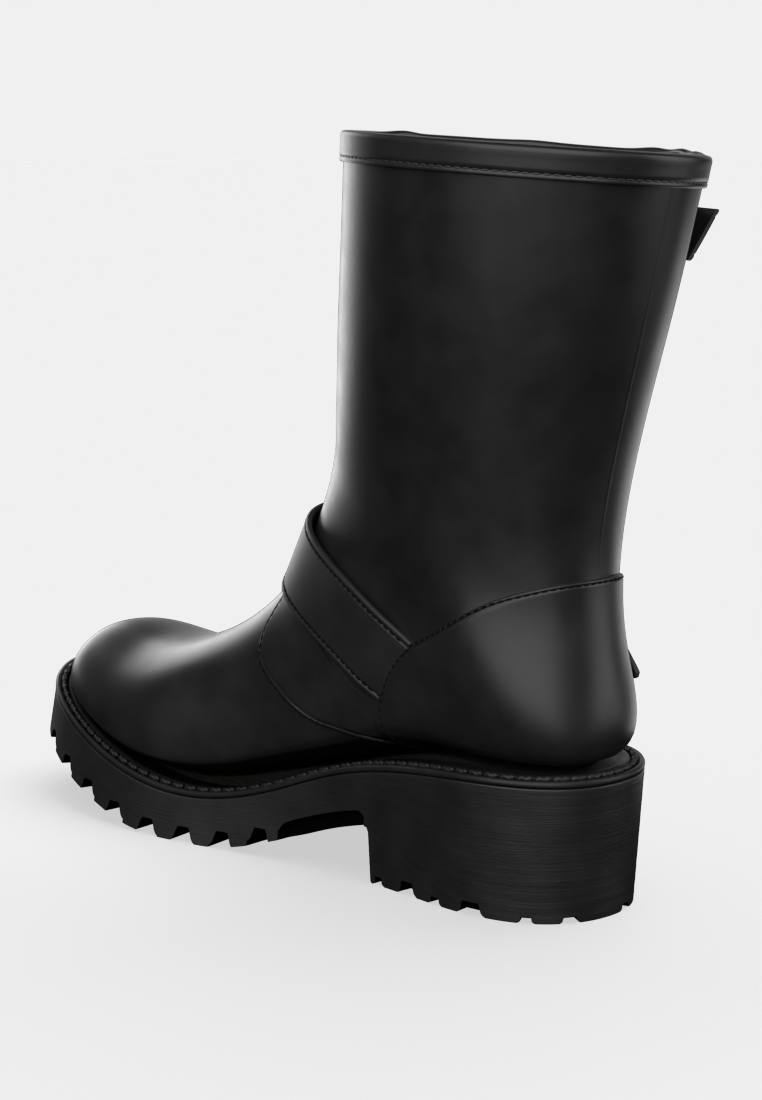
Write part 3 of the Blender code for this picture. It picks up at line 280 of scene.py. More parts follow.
class Skin:
    """The upper's outer surface as a fine mesh, for finding places and normals on it."""

    def __init__(self, form, steps, sides):
        t = steps[:, None]
        rings = len(steps)
        angle = np.linspace(0, 360, sides, endpoint=False)[None, :]
        grid = form.points(t, angle)
        index = np.arange(rings * sides).reshape(rings, sides)
        a, b = index[:-1], index[1:]
        a2, b2 = np.roll(a, -1, axis=1), np.roll(b, -1, axis=1)
        faces = np.concatenate([np.stack([a, b, b2], -1).reshape(-1, 3),
                                np.stack([a, b2, a2], -1).reshape(-1, 3)])
        self.points = grid.reshape(-1, 3)
        self.faces = faces
        sides_a = self.points[faces[:, 1]] - self.points[faces[:, 0]]
        sides_b = self.points[faces[:, 2]] - self.points[faces[:, 0]]
        flat = np.cross(sides_a, sides_b)
        normals = np.zeros_like(self.points)
        for corner in range(3):
            np.add.at(normals, faces[:, corner], flat)
        normals /= np.linalg.norm(normals, axis=1)[:, None]
        centre = grid.mean(axis=1, keepdims=True)
        outward = ((grid - centre).reshape(-1, 3) * normals).sum()
        self.normals = normals if outward > 0 else -normals
        self.tree = BVHTree.FromPolygons(self.points.tolist(), faces.tolist())

    def _smooth(self, place, face):
        corners = self.faces[face]
        p = self.points[corners]
        q = np.array(place)
        areas = [np.linalg.norm(np.cross(p[(i + 1) % 3] - q, p[(i + 2) % 3] - q)) for i in range(3)]
        normal = np.array(areas) @ self.normals[corners]
        return q, normal / np.linalg.norm(normal)

    def cast(self, origin, direction):
        """The first place hit, with its normal; a ray that misses starts again a little higher."""
        place = None
        origin = Vector(origin)
        while place is None and origin.z < 300:
            place, _, face, _ = self.tree.ray_cast(origin, Vector(direction))
            origin.z += 0.3
        return self._smooth(place, face)

    def nearest(self, point):
        place, _, face, _ = self.tree.find_nearest(Vector(point))
        return self._smooth(place, face)

    def from_axis(self, axis_x, degrees, z):
        """The place hit by a level ray towards the upright axis at axis_x."""
        a = math.radians(degrees)
        c, s = math.cos(a), math.sin(a)
        return self.cast((axis_x + OUTSIDE * c, OUTSIDE * s, z), (-c, -s, 0.0))

    def from_side(self, x, z, side):
        """The place hit by a level ray across the boot from side +1, inner, or -1, outer."""
        return self.cast((x, OUTSIDE * side, z), (0.0, -side, 0.0))


class Outline:
    """The welt's outer edge from above, and curves at a distance from it."""

    def __init__(self):
        edge = np.array(WELT_EDGE, float)
        wrapped = np.vstack([edge[-3:], edge, edge[:4]])
        steps = np.concatenate([[0], np.cumsum(np.linalg.norm(np.diff(wrapped, axis=0), axis=1))])
        steps -= steps[3]
        self.length = steps[3 + len(edge)]
        self.curve = spline(np.column_stack([steps, wrapped]))

    def at(self, s, offset=0.0):
        """Points and outward directions at arc lengths s."""
        s = np.atleast_1d(s)
        place = self.curve(s)
        run = self.curve(s + 0.2) - self.curve(s - 0.2)
        run /= np.linalg.norm(run, axis=1)[:, None]
        out = np.column_stack([-run[:, 1], run[:, 0]])
        return place + out * np.reshape(offset, (-1, 1)), out

    def sides(self, x_values, offset=0.0):
        """Inner and outer y of the offset edge at each x."""
        s = np.linspace(0, self.length, 1200)
        place, _ = self.at(s, offset)
        toe = place[:, 0].argmax()
        rear = place[:, 0].argmin()
        if rear > toe:
            place = np.roll(place, -rear, axis=0)
            toe = place[:, 0].argmax()
        inner, outer = place[:toe + 1], place[toe:]
        y_inner = np.interp(x_values, inner[:, 0], inner[:, 1])
        y_outer = np.interp(x_values, outer[::-1, 0], outer[::-1, 1])
        return y_inner, y_outer


def crowded_ends(low, high, count):
    """Values from low to high, closer together at both ends."""
    turn = np.linspace(0.03, math.pi - 0.03, count)
    return (low + high) / 2 - (high - low) / 2 * np.cos(turn)


class Bench:
    """The flat place where a buckle sits. Its axes are back (along the strap's tail), up the
    strap's width, and out from the boot; its origin is under the bar, on the touching plane."""

    def __init__(self, skin, buckle):
        x, z = buckle["touch"]
        place, out = skin.from_side(x, z, -1)
        slope = math.radians(buckle["slope"])
        back = np.array((-math.cos(slope), 0.0, -math.sin(slope)))
        back -= out * back.dot(out)
        back /= np.linalg.norm(back)
        up = np.cross(out, back)
        if up[2] < 0:
            up = -up
        self.origin = place + back * buckle["bar_behind"]
        self.back, self.up, self.out = back, up, out

    def point(self, s, w, h):
        return self.origin + self.back * s + self.up * w + self.out * h


# ---------------------------------------------------------------- materials
class Look:
    """A material being made. An input is given as a number or as the output that feeds it."""

    def __init__(self, name):
        self.material = bpy.data.materials.new(name)
        self.material.use_nodes = True
        self.tree = self.material.node_tree
        self.shader = self.tree.nodes["Principled BSDF"]
        self.place = self.add("TexCoord", {}, "Object")

    def feed(self, node, inputs):
        for name, value in inputs.items():
            if isinstance(value, bpy.types.NodeSocket):
                self.tree.links.new(value, node.inputs[name])
            else:
                node.inputs[name].default_value = value

    def add(self, kind, inputs, output, operation=None):
        """An output of a new node."""
        node = self.tree.nodes.new("ShaderNode" + kind)
        if operation:
            node.operation = operation
        self.feed(node, inputs)
        return node.outputs[output]

    def scaled(self, size, stretch):
        """Places on the object in units of a size in mm, stretched along the axes."""
        scale = [1 / (size * MM * k) for k in stretch]
        return self.add("Mapping", {"Vector": self.place, "Scale": scale}, "Vector")

    def noise(self, size, detail=3.0, stretch=(1, 1, 1), rough=0.5):
        """Noise with features of a size in mm, stretched along the axes."""
        return self.add("TexNoise", {"Vector": self.scaled(size, stretch), "Scale": 1.0,
                                     "Detail": detail, "Roughness": rough}, "Fac")

    def ranged(self, value, low, high, start=0.3, end=0.7):
        return self.add("MapRange", {"Value": value, "From Min": start, "From Max": end,
                                     "To Min": low, "To Max": high}, "Result")

    def tinted(self, value, dark, light):
        ramp = self.tree.nodes.new("ShaderNodeValToRGB")
        for element, at, colour in zip(ramp.color_ramp.elements, (0.3, 0.7), (dark, light)):
            element.position = at
            element.color = (*colour, 1)
        self.feed(ramp, {"Fac": value})
        return ramp.outputs["Color"]

    def bumped(self, *layers):
        """Chained bumps from (height, depth in mm) layers."""
        normal = {}
        for value, depth in layers:
            bump = {"Strength": 1.0, "Distance": depth * MM, "Height": value, **normal}
            normal = {"Normal": self.add("Bump", bump, "Normal")}
        self.feed(self.shader, normal)

    def facing_up(self):
        """Mask for painted shade: 1 on faces that look level or up, 0 on those that look down,
        where shade is painted; the heel is let off.
        """
        normal = self.add("NewGeometry", {}, "Normal")
        upward = self.add("SeparateXYZ", {"Vector": normal}, "Z")
        along = self.add("SeparateXYZ", {"Vector": self.place}, "X")
        let_off = self.ranged(along, PAINTED_SHADE_LET_OFF, 0.0, 0.0, HEEL_BREAST_X * MM)
        return self.ranged(self.add("Math", {0: upward, 1: let_off}, "Value"), 0.0, 1.0,
                           *PAINTED_SHADE_SLOPES)

    def unmarked(self):
        """1 less the mesh's own mark of painted shade."""
        mark = self.tree.nodes.new("ShaderNodeAttribute")
        mark.attribute_name = RECESS
        return self.ranged(mark.outputs["Fac"], 1.0, 0.0, 0, 1)


def rubber(name, tone, rough, grain=0.018, streaks=0.0, spread=0.03, shine=0.5, painted_shade=None):
    """Black moulded rubber with a fine grain, patchy gloss and, on the sole, level streaks. Painted
    shade darkens it and takes away its shine where it looks down ("below") or where a mesh is
    marked as in shade ("recess")."""
    look = Look(name)
    patches, speck = look.noise(14.0, 4.0), look.noise(0.55, 2.0)
    colour = look.tinted(patches, (tone * 0.8, tone * 0.8, tone * 0.82),
                         (tone * 1.2, tone * 1.2, tone * 1.24))
    gloss = look.add("Math", {0: look.ranged(patches, rough - spread, rough + spread),
                              1: look.ranged(speck, -spread, spread)}, "Value")
    # painted shade: darker colour, hardly any shine and full roughness where the mask says shade
    if painted_shade:
        unshaded = {"below": look.facing_up, "recess": look.unmarked}[painted_shade]()
        share = look.ranged(unshaded, 0.12, 1.0, 0, 1)
        colour = look.add("VectorMath", {0: colour, "Scale": share}, "Vector", "SCALE")
        shine = look.ranged(unshaded, 0.02, shine, 0, 1)
        painted_shade_rough = look.ranged(unshaded, 1.0, 0.0, 0, 1)
        gloss = look.add("Math", {0: gloss, 1: painted_shade_rough}, "Value", "MAXIMUM")
    look.feed(look.shader, {"Base Color": colour, "Specular IOR Level": shine,
                            "Roughness": gloss})
    layers = [(speck, grain), (look.noise(2.6, 3.0), grain * 1.2)]
    if streaks:
        layers += [(look.noise(1.1, 4.0, (26, 26, 0.9), 0.6), streaks),
                   (look.noise(0.5, 3.0, (12, 12, 0.8), 0.6), streaks * 0.4)]
    look.bumped(*layers)
    return look.material


def textile(name, tone, thread=0.9):
    """A dark close knit."""
    look = Look(name)
    cells = look.add("TexVoronoi", {"Vector": look.scaled(thread, (1, 1, 1.3)), "Scale": 1.0,
                                    "Randomness": 0.35}, "Distance")
    wide = look.noise(9.0)
    mixed = look.add("Math", {0: cells, 1: 0.6, 2: look.ranged(wide, 0.0, 0.3)}, "Value",
                     "MULTIPLY_ADD")
    look.feed(look.shader, {
        "Base Color": look.tinted(mixed, [tone * 1.5] * 3, [tone * 0.5] * 3),
        "Roughness": look.ranged(wide, 0.85, 0.98), "Specular IOR Level": 0.2})
    look.bumped((cells, -0.25), (look.noise(5.0), 0.5))
    return look.material


def metal(name, tone, rough):
    look = Look(name)
    look.feed(look.shader, {
        "Base Color": look.tinted(look.noise(6.0, 4.0), [tone * 0.85] * 3, [tone * 1.1] * 3),
        "Roughness": look.ranged(look.noise(0.6, 4.0), rough - 0.07, rough + 0.1),
        "Metallic": 1.0})
    look.bumped((look.noise(0.4, 3.0, (1, 8, 1)), 0.01))
    return look.material


def fibre_board(name):
    look = Look(name)
    fibres = look.noise(0.8, 5.0, (5, 1, 1))
    # near-black colour painted on the board for the shade in the crevice between the upper and the
    # welt, where it shows
    look.feed(look.shader, {
        "Base Color": look.tinted(fibres, (0.004, 0.004, 0.004), (0.012, 0.011, 0.010)),
        "Roughness": look.ranged(fibres, 0.8, 0.95), "Specular IOR Level": 0.05})
    look.bumped((fibres, 0.1))
    return look.material


LOOKS = {
    # the upper and panels get painted shade where they look down, the welt and sole where their
    # meshes are marked as in shade
    "upper": rubber("upper_rubber_look", 0.0135, 0.36, painted_shade="below"),
    "panel": rubber("panel_rubber_look", 0.0145, 0.39, painted_shade="below"),
    "strap": rubber("strap_rubber_look", 0.0160, 0.48, grain=0.022, shine=0.4),
    "binding": rubber("binding_rubber_look", 0.0160, 0.38),
    "welt": rubber("welt_rubber_look", 0.0130, 0.42, shine=0.32, painted_shade="recess"),
    "sole": rubber("sole_rubber_look", 0.0125, 0.46, 0.03, streaks=0.10, painted_shade="recess"),
    # the seam stitches' near-black colour is painted shade for the inside of their recessed holes
    "stitch": rubber("stitch_hole_shade_look", 0.0025, 0.85, shine=0.12),
    "cord": rubber("cord_rubber_look", 0.0150, 0.46, shine=0.35),
    "thread": rubber("thread_rubber_look", 0.0300, 0.42),
    "lining": textile("lining_textile_look", 0.012),
    "footbed": textile("footbed_textile_look", 0.030, 1.3),
    "board": fibre_board("insole_board_shade_look"),
    "steel": metal("buckle_metal_look", 0.42, 0.3),
    "shank": metal("shank_steel_look", 0.5, 0.38),
}


# ---------------------------------------------------------------- making pieces
def put(name, data):
    """A new object in the scene."""
    obj = bpy.data.objects.new(name, data)
    bpy.context.scene.collection.objects.link(obj)
    return obj


def solid(name, points, faces):
    """A new object with its faces turned outwards."""
    mesh = bpy.data.meshes.new(name)
    mesh.from_pydata((np.asarray(points, float) * MM).tolist(), [], [tuple(f) for f in faces])
    bm = bmesh.new()
    bm.from_mesh(mesh)
    bmesh.ops.recalc_face_normals(bm, faces=bm.faces)
    bm.to_mesh(mesh)
    bm.free()
    return put(name, mesh)


def smoothed(mesh, degrees):
    """Smooth shading, except across edges sharper than an angle."""
    mesh.shade_smooth()
    mesh.set_sharp_from_angle(angle=math.radians(degrees))


def piece(name, points, faces, look, slot, nodes=(), body=BOOT, sharp=60):
    obj = solid(name, points, faces)
    obj.data.materials.append(LOOKS[look])
    smoothed(obj.data, sharp)
    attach(obj, body)
    if nodes:
        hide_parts(*nodes)
    return obj


def mark(mesh, values):
    """Number each face by how deep in shade it lies."""
    layer = mesh.attributes.new(RECESS, "FLOAT", "FACE")
    layer.data.foreach_set("value", np.broadcast_to(values, len(mesh.polygons)).astype(np.float32))


def grid_faces(rows, columns, first=0, wrap=False, close=False):
    """Quads of a grid; wrap joins the last column to the first, close the last row."""
    faces = []
    for r in range(rows if close else rows - 1):
        a = first + r * columns
        b = first + (r + 1) % rows * columns
        for c in range(columns if wrap else columns - 1):
            d = (c + 1) % columns
            faces.append((a + c, a + d, b + d, b + c))
    return faces


def loft(sections, closed=False):
    """Points and faces of a skin through rings, capped unless closed on itself."""
    sections = np.asarray(sections, float)
    rows, columns = sections.shape[:2]
    faces = grid_faces(rows, columns, wrap=True, close=closed)
    if not closed:
        faces.append(tuple(range(columns)))
        faces.append(tuple((rows - 1) * columns + i for i in range(columns))[::-1])
    return sections.reshape(-1, 3), faces


def solid_sheet(inner, outer):
    """A closed sheet between two grids of points."""
    rows, columns = inner.shape[:2]
    count = rows * columns
    faces = grid_faces(rows, columns)
    faces += [tuple(count + i for i in f)[::-1] for f in grid_faces(rows, columns)]
    rim = list(range(columns))
    rim += [r * columns + columns - 1 for r in range(1, rows)]
    rim += [(rows - 1) * columns + c for c in range(columns - 2, -1, -1)]
    rim += [r * columns for r in range(rows - 2, 0, -1)]
    for a, b in zip(rim, rim[1:] + rim[:1]):
        faces.append((a, b, count + b, count + a))
    return np.vstack([inner.reshape(-1, 3), outer.reshape(-1, 3)]), faces


def unit(v):
    return v / np.maximum(np.linalg.norm(v, axis=-1, keepdims=True), 1e-12)


def lengths_along(points):
    return np.concatenate([[0], np.cumsum(np.linalg.norm(np.diff(points, axis=0), axis=1))])


def resampled(points, step):
    """Points at equal steps along a line."""
    places = lengths_along(points)
    count = max(int(round(places[-1] / step)), 2)
    wanted = np.linspace(0, places[-1], count + 1)
    return np.column_stack([np.interp(wanted, places, column) for column in points.T])


def joined(meshes):
    points, faces = [], []
    for more, more_faces in meshes:
        first = len(points)
        points += [tuple(p) for p in more]
        faces += [tuple(first + i for i in f) for f in more_faces]
    return points, faces


# A stitch from end to end: (place, radius), both as shares of its size
CAPSULE = ((-0.5, 0.30), (-0.46, 0.62), (-0.38, 0.88), (-0.25, 1.0), (0.0, 1.0), (0.25, 1.0),
           (0.38, 0.88), (0.46, 0.62), (0.5, 0.30))


def stitch_row(name, line, normals, look, slot, size, flat=0.8, twist=0.0, sides=8):
    """Separate rounded stitches laid end to end along a line; twist makes them rope-like."""
    places = lengths_along(line)
    count = max(int(round(places[-1] / size["pitch"])), 1)
    rings = CAPSULE if not twist else [(x, 1 - (2 * abs(x)) ** 6 * 0.7)
                                       for x in np.linspace(-0.5, 0.5, 15)]

    def at(rows, place):
        return np.array([np.interp(place, places, column) for column in rows.T])

    stitches = []
    for place in (np.arange(count) + 0.5) * places[-1] / count:
        centre, out = at(line, place), at(normals, place)
        run = unit(at(line, place + 0.5) - at(line, place - 0.5))
        out = unit(out - run * out.dot(run))
        side = np.cross(run, out)
        stitch = []
        for x, share in rings:
            ring = []
            for k in range(sides):
                a = 2 * math.pi * k / sides
                r = size["radius"] * share
                if twist:
                    r *= 0.86 + 0.16 * math.cos(2 * (a + twist * x * 2 * math.pi))
                ring.append(centre + run * x * size["length"] + side * r * math.cos(a)
                            + out * r * flat * math.sin(a))
            stitch.append(ring)
        stitches.append(loft(stitch))
    piece(name, *joined(stitches), look, slot)


def sweep(points, radius, sides=14, closed=False, taper=None, hint=(0.3, 0.2, 1.0)):
    """A round wire along points."""
    points = np.asarray(points, float)
    count = len(points)
    ahead = np.roll(points, -1, axis=0) - np.roll(points, 1, axis=0)
    if not closed:
        ahead[0], ahead[-1] = points[1] - points[0], points[-1] - points[-2]
    ahead = unit(ahead)
    normal = unit(np.cross(ahead[0], hint))
    sections = []
    for i in range(count):
        normal = unit(normal - ahead[i] * normal.dot(ahead[i]))
        other = np.cross(ahead[i], normal)
        r = radius * (taper[i] if taper is not None else 1.0)
        angles = np.linspace(0, 2 * math.pi, sides, endpoint=False)[:, None]
        sections.append(points[i] + r * (np.cos(angles) * normal + np.sin(angles) * other))
    return loft(sections, closed=closed)


def apply_modifiers(obj):
    graph = bpy.context.evaluated_depsgraph_get()
    mesh = bpy.data.meshes.new_from_object(obj.evaluated_get(graph))
    old = obj.data
    obj.modifiers.clear()
    obj.data = mesh
    mesh.name = obj.name
    bpy.data.meshes.remove(old)


def carve(obj, cutters):
    """Take closed cutter meshes, each (points, faces), away from obj; the cut faces are marked to
    get painted shade.
    """
    mark(obj.data, 0.0)
    for points, faces in cutters:
        cutter = solid("cutter", points, faces)
        mesh = cutter.data
        mark(mesh, 1.0)
        modifier = obj.modifiers.new("carve", "BOOLEAN")
        modifier.operation = "DIFFERENCE"
        modifier.solver = "MANIFOLD"
        modifier.object = cutter
        apply_modifiers(obj)
        bpy.data.objects.remove(cutter)
        bpy.data.meshes.remove(mesh)


def bevel(obj, width, segments):
    modifier = obj.modifiers.new("bevel", "BEVEL")
    modifier.width = width * MM
    modifier.segments = segments
    modifier.limit_method = "ANGLE"
    modifier.angle_limit = math.radians(40)
    apply_modifiers(obj)
    smoothed(obj.data, 50)


# ---------------------------------------------------------------- upper, lining and footbed
def ring_angles(form, t, per_quarter, seam_lines=()):
    """Angles for each ring at equal steps of length, with extra lines beside the front and
    back middle at the given distances."""
    dense = np.linspace(0, 360, 1441)
    rings = form.points(t[:, None], dense[None, :])
    rows = []
    for ring in rings:
        angles = []
        for quarter in range(4):
            part = slice(quarter * 360, quarter * 360 + 361)
            places = lengths_along(ring[part])
            total = max(places[-1], 1e-6)
            shares = list(np.linspace(0, 1, per_quarter, endpoint=False))
            near = [min(d / total, 0.9 / per_quarter * (k + 1) / len(seam_lines))
                    for k, d in enumerate(seam_lines)]
            if quarter % 2 == 0:
                shares += [1 - n for n in near]
            else:
                shares += near
            angles.append(np.interp(np.sort(shares) * total, places, dense[part]))
        rows.append(np.concatenate(angles))
    return np.array(rows)


def shell(outer, inner, tip_outer, tip_inner):
    """A boot-shaped wall, open at the top: grids of rings from the toe up, and their tips."""
    sides = outer.shape[1]
    points = [tip_outer[None], outer.reshape(-1, 3), tip_inner[None], inner.reshape(-1, 3)]
    faces = []
    first = 0
    for rows in (len(outer), len(inner)):
        faces += [(first, first + 1 + c, first + 1 + (c + 1) % sides) for c in range(sides)]
        faces += grid_faces(rows, sides, first + 1, wrap=True)
        first += 1 + rows * sides
    rim_outer = 1 + (len(outer) - 1) * sides
    rim_inner = first - sides
    for c in range(sides):
        d = (c + 1) % sides
        faces.append((rim_outer + c, rim_outer + d, rim_inner + d, rim_inner + c))
    return np.vstack(points), faces


# Share of the rings against share of the way from the toe to the top: they crowd at the toe
FINE_RINGS = ((0, 0), (0.1, 0.035), (0.28, 0.16), (0.62, 0.56), (1, 1))


def form_rings(form, rings, per_quarter, seam_lines=()):
    t = np.interp(np.linspace(0, 1, rings + 1)[1:], *zip(*FINE_RINGS))
    angles = ring_angles(form, t, per_quarter, seam_lines)
    grid = form.points(t[:, None], angles)
    tip = np.array((form.points(0.0, 0.0)[0], SECTIONS[0][6], form.tip_height))
    return grid, angles, tip


def grid_normals(grid):
    """Outward normals of a grid whose columns wrap round."""
    across = np.roll(grid, -1, axis=1) - np.roll(grid, 1, axis=1)
    up = np.gradient(grid, axis=0)
    normal = unit(np.cross(up, across))
    centre = grid.mean(axis=1, keepdims=True)
    return normal * np.sign(((grid - centre) * normal).sum())


def make_upper(form):
    grid, angles, tip = form_rings(form, UPPER_RINGS, UPPER_QUARTER, RIDGE_LINES)
    normals = grid_normals(grid)
    middle = grid[:, :, 1] - SECTIONS[0][6] * np.clip((grid[:, :, 0:1] - 190) / 30, 0, 1)[..., 0]
    front_or_back = np.abs(np.cos(np.radians(angles))) < 0.25
    high = np.clip((grid[:, :, 2] - 60) / 20, 0, 1)
    ridge = RIDGE["rise"] * np.exp(-(middle / RIDGE["half_width"]) ** 2) * front_or_back * high
    grid = grid + normals * ridge[..., None]
    inner, _, inner_tip = form_rings(Form(RUBBER_WALL), INNER_RINGS, UPPER_QUARTER, RIDGE_LINES)
    points, faces = shell(grid, inner, tip, inner_tip)
    piece("boot_upper", points, faces, "upper", "upper_rubber", ("upper",))


def make_lining():
    rng = np.random.default_rng(7)
    outer, _, tip = form_rings(Form(LINING_INSET), *LINING_GRID)
    inner, angles, tip_in = form_rings(Form(LINING_INSET + LINING_WALL), *LINING_GRID)
    wave = np.zeros(inner.shape[:2])
    for _ in range(9):
        turns, rise, phase = rng.integers(3, 12), rng.uniform(-14, 14), rng.uniform(0, 6.28)
        t = np.linspace(0, 1, len(inner))[:, None]
        wave += np.sin(np.radians(angles) * turns + rise * t + phase) / 9
    inward = -grid_normals(inner)
    inner = inner + inward * (0.35 * wave + 0.3)[..., None]
    points, faces = shell(outer, inner, tip, tip_in)
    piece("knit_lining", points, faces, "lining", "lining_textile", ("lining",), sharp=70)


def make_footbed():
    skin = Skin(Form(LINING_INSET + LINING_WALL + 0.7), np.linspace(0.004, 1, 110), 120)
    xs = crowded_ends(-25.0, 210.5, 120)
    across = np.sin(np.linspace(-math.pi / 2, math.pi / 2, 25))
    top, bottom = [], []
    for x in xs:
        floor = skin.cast((x, 2.0, 58.0 if x < 180 else 52.0), (0, 0, -1))[0][2]
        halves = [skin.cast((x, 2.0, floor + rise), (0, side, 0))[0][1]
                  for rise in (0.8, FOOTBED_THICKNESS) for side in (1, -1)]
        low_in, low_out, in_, out = halves
        in_, out, low_in, low_out = in_ - 0.3, out + 0.3, low_in - 0.6, low_out + 0.6
        arch = 1.6 * math.exp(-((x - 70) / 34) ** 2)
        row, under = [], []
        for a in across:
            y = (in_ + out) / 2 + (in_ - out) / 2 * a
            dish = 0.9 * abs(a) ** 3 - 1.1 * max(abs(a) - 0.93, 0) / 0.07
            row.append((x, y, floor + FOOTBED_THICKNESS - 0.6 + dish + arch * max(a, 0) ** 2))
            under.append((x, (low_in + low_out) / 2 + (low_in - low_out) / 2 * a, floor + 0.6))
        top.append(row)
        bottom.append(under)
    points, faces = solid_sheet(np.array(bottom), np.array(top))
    pad = piece("footbed_pad", points, faces, "footbed", "footbed_textile", ("footbed",), sharp=50)


# ---------------------------------------------------------------- welt and sole
# Section of the welt: (distance out from its edge, height over the groove)
WELT_PROFILE = (
    (-0.9, 0.15), (-0.3, 0.18), (0.0, 0.4), (0.12, 0.9), (0.05, 1.6), (-0.3, 2.15), (-0.9, 2.4),
    (-1.5, 2.3), (-1.8, 1.9), (-2.1, 1.6), (-2.7, 1.5), (-3.4, 1.5), (-4.1, 1.6), (-4.5, 1.9),
    (-4.8, 2.4), (-5.2, 2.75), (-5.9, 2.9), (-6.6, 2.8), (-7.2, 2.6), (-7.6, 2.4), (-8.0, 2.2),
    (-9.5, 2.0), (-12.0, 1.9), (-15.0, 1.9), (-15.0, 1.75), (-9.0, 1.62), (-8.0, 0.6), (-7.6, 0.15))


# How deep in shade the welt lies, by distance out, and the share of it by x
WELT_SHADE = ((-8, 1), (-6.2, 0.6), (-5, 0.5), (-4.5, 1), (-2, 1), (-1.5, 0))
WELT_SHADE_ALONG = ((-10, 0.45), (45, 1.0))


def make_welt(outline):
    groove = height(GROOVE_LINE)
    s = np.linspace(0, outline.length, 560, endpoint=False)
    places, aways = outline.at(s)
    sections = []
    for place, away in zip(places, aways):
        ring = [(*(place + away * out), rise) for out, rise in WELT_PROFILE]
        sections.append([(x, y, groove(x) + rise) for x, y, rise in ring])
    band = piece("welt_band", *loft(sections, closed=True), "welt", "welt_rubber", ("welt",))
    depths = np.interp([out for out, _ in WELT_PROFILE], *zip(*WELT_SHADE))
    shade = np.interp(places[:, 0], *zip(*WELT_SHADE_ALONG))
    mark(band.data, np.outer(shade, depths).ravel())
    line, _ = outline.at(np.linspace(0, outline.length, 900), -3.15)
    line = np.column_stack([line, groove(line[:, 0]) + 2.45])
    normals = np.zeros_like(line)
    normals[:, 2] = 1.0
    stitch_row("welt_stitches", line, normals, "cord", "welt_rubber", WELT_STITCH, flat=0.95,
               twist=0.9, sides=10)


def bar_solid(middle, along_dir, across_dir, length, levels):
    """A bar whose cross-section widens by level: (z, half width) from the bottom up."""
    middle, along_dir, across_dir = (np.array(v) for v in (middle, along_dir, across_dir))
    sections = []
    for z, half in levels:
        ring = []
        for a, b in ((-1, -1), (1, -1), (1, 1), (-1, 1)):
            xy = middle + along_dir * length / 2 * a + across_dir * half * b
            ring.append((xy[0], xy[1], z))
        sections.append(ring)
    return loft(sections)


def lug_cutters(outline):
    """Notches round the sole, in groups whose bars don't meet."""
    tread = height(TREAD_LINE)
    s = np.linspace(0, outline.length, 1600, endpoint=False)
    edge, out = outline.at(s)

    def bar(index, depth, wide, narrow, ground, deep):
        flare = min(1.6, deep * 0.45)
        levels = [(ground - 6, wide / 2 + flare), (ground, wide / 2 + flare),
                  (ground + deep * 0.12, wide / 2 + flare * 0.45), (ground + deep * 0.3, wide / 2),
                  (ground + deep * 0.85, narrow / 2 + 0.25), (ground + deep, narrow / 2 - 0.3)]
        middle = edge[index] + out[index] * (6 - depth / 2)
        return bar_solid(middle, out[index], (-out[index][1], out[index][0]), depth + 12, levels)

    def nearest(axis, value, usable):
        return min(np.nonzero(usable)[0], key=lambda i: abs(edge[i, axis] - value))

    groups = [[], []]
    first = nearest(0, FORE_NOTCH_X, edge[:, 1] > 3)
    last = nearest(0, FORE_NOTCH_X, edge[:, 1] < 3)
    for number, index in enumerate(np.linspace(first, last, FORE_NOTCHES).astype(int)):
        depth = 21 if edge[index, 0] < 200 else 13
        wide, narrow, deep = NOTCH_ROOT["fore"]
        ground = max(tread(edge[index, 0]), 0.0)
        groups[number % 2].append(bar(index, depth, wide, narrow, ground, deep))
    for number, (x, wide, deep) in enumerate(HEEL_NOTCHES):
        for usable in (edge[:, 1] > 3, edge[:, 1] < 3):
            narrow = wide * NOTCH_ROOT["narrowing"]
            notch = bar(nearest(0, x, usable), 9, wide, narrow, 0.0, deep + 0.9)
            groups[number % 2].append(notch)
    for y, wide, deep in REAR_NOTCHES:
        narrow = wide * NOTCH_ROOT["narrowing"]
        groups[1].append(bar(nearest(1, y, edge[:, 0] < 0), 9, wide, narrow, 0.0, deep + 0.7))
    centre = []
    for x in TREAD_GROOVES:
        z = max(tread(x), 0.0)
        for side in (1, -1):
            turn = math.radians(90 - side * 28)
            direction = (math.cos(turn), math.sin(turn))
            centre.append(bar_solid((x, side * 9.5), direction, (-direction[1], direction[0]), 13,
                                    ((z - 5, 2.0), (z + 2.6, 1.6))))
    for x in HEEL_GROOVES:
        centre.append(bar_solid((x, 0), (0, 1), (1, 0), 26, ((-3, 2.0), (2.2, 1.6))))
    return [joined(group) for group in (*groups, centre)]


def arch_cutters(outline):
    """What is taken from the sole's side under the arch, so that its middle stands lower."""
    edge_height = height(ARCH_EDGE)
    start, end = ARCH_SPAN
    xs = np.linspace(start, end, 28)
    cutters = []
    for inside, outside in zip(outline.sides(xs, -ARCH_DEPTH), outline.sides(xs, 9.0)):
        sections = []
        for x, a, b in zip(xs, inside, outside):
            near_end = min(x - start, end - x)
            z = edge_height(x) - 2.2 * max(1 - near_end / 3.5, 0) ** 2
            sections.append([(x, a, 1.0), (x, a, z), (x, b, z), (x, b, 1.0)])
        cutters.append(loft(sections))
    return cutters


# The sole's rounded upper edge: (depth under the groove, distance out)
SOLE_EDGE = ((0.0, -1.4), (0.03, -0.5), (0.12, -0.2), (0.35, -0.04), (0.6, 0.0))


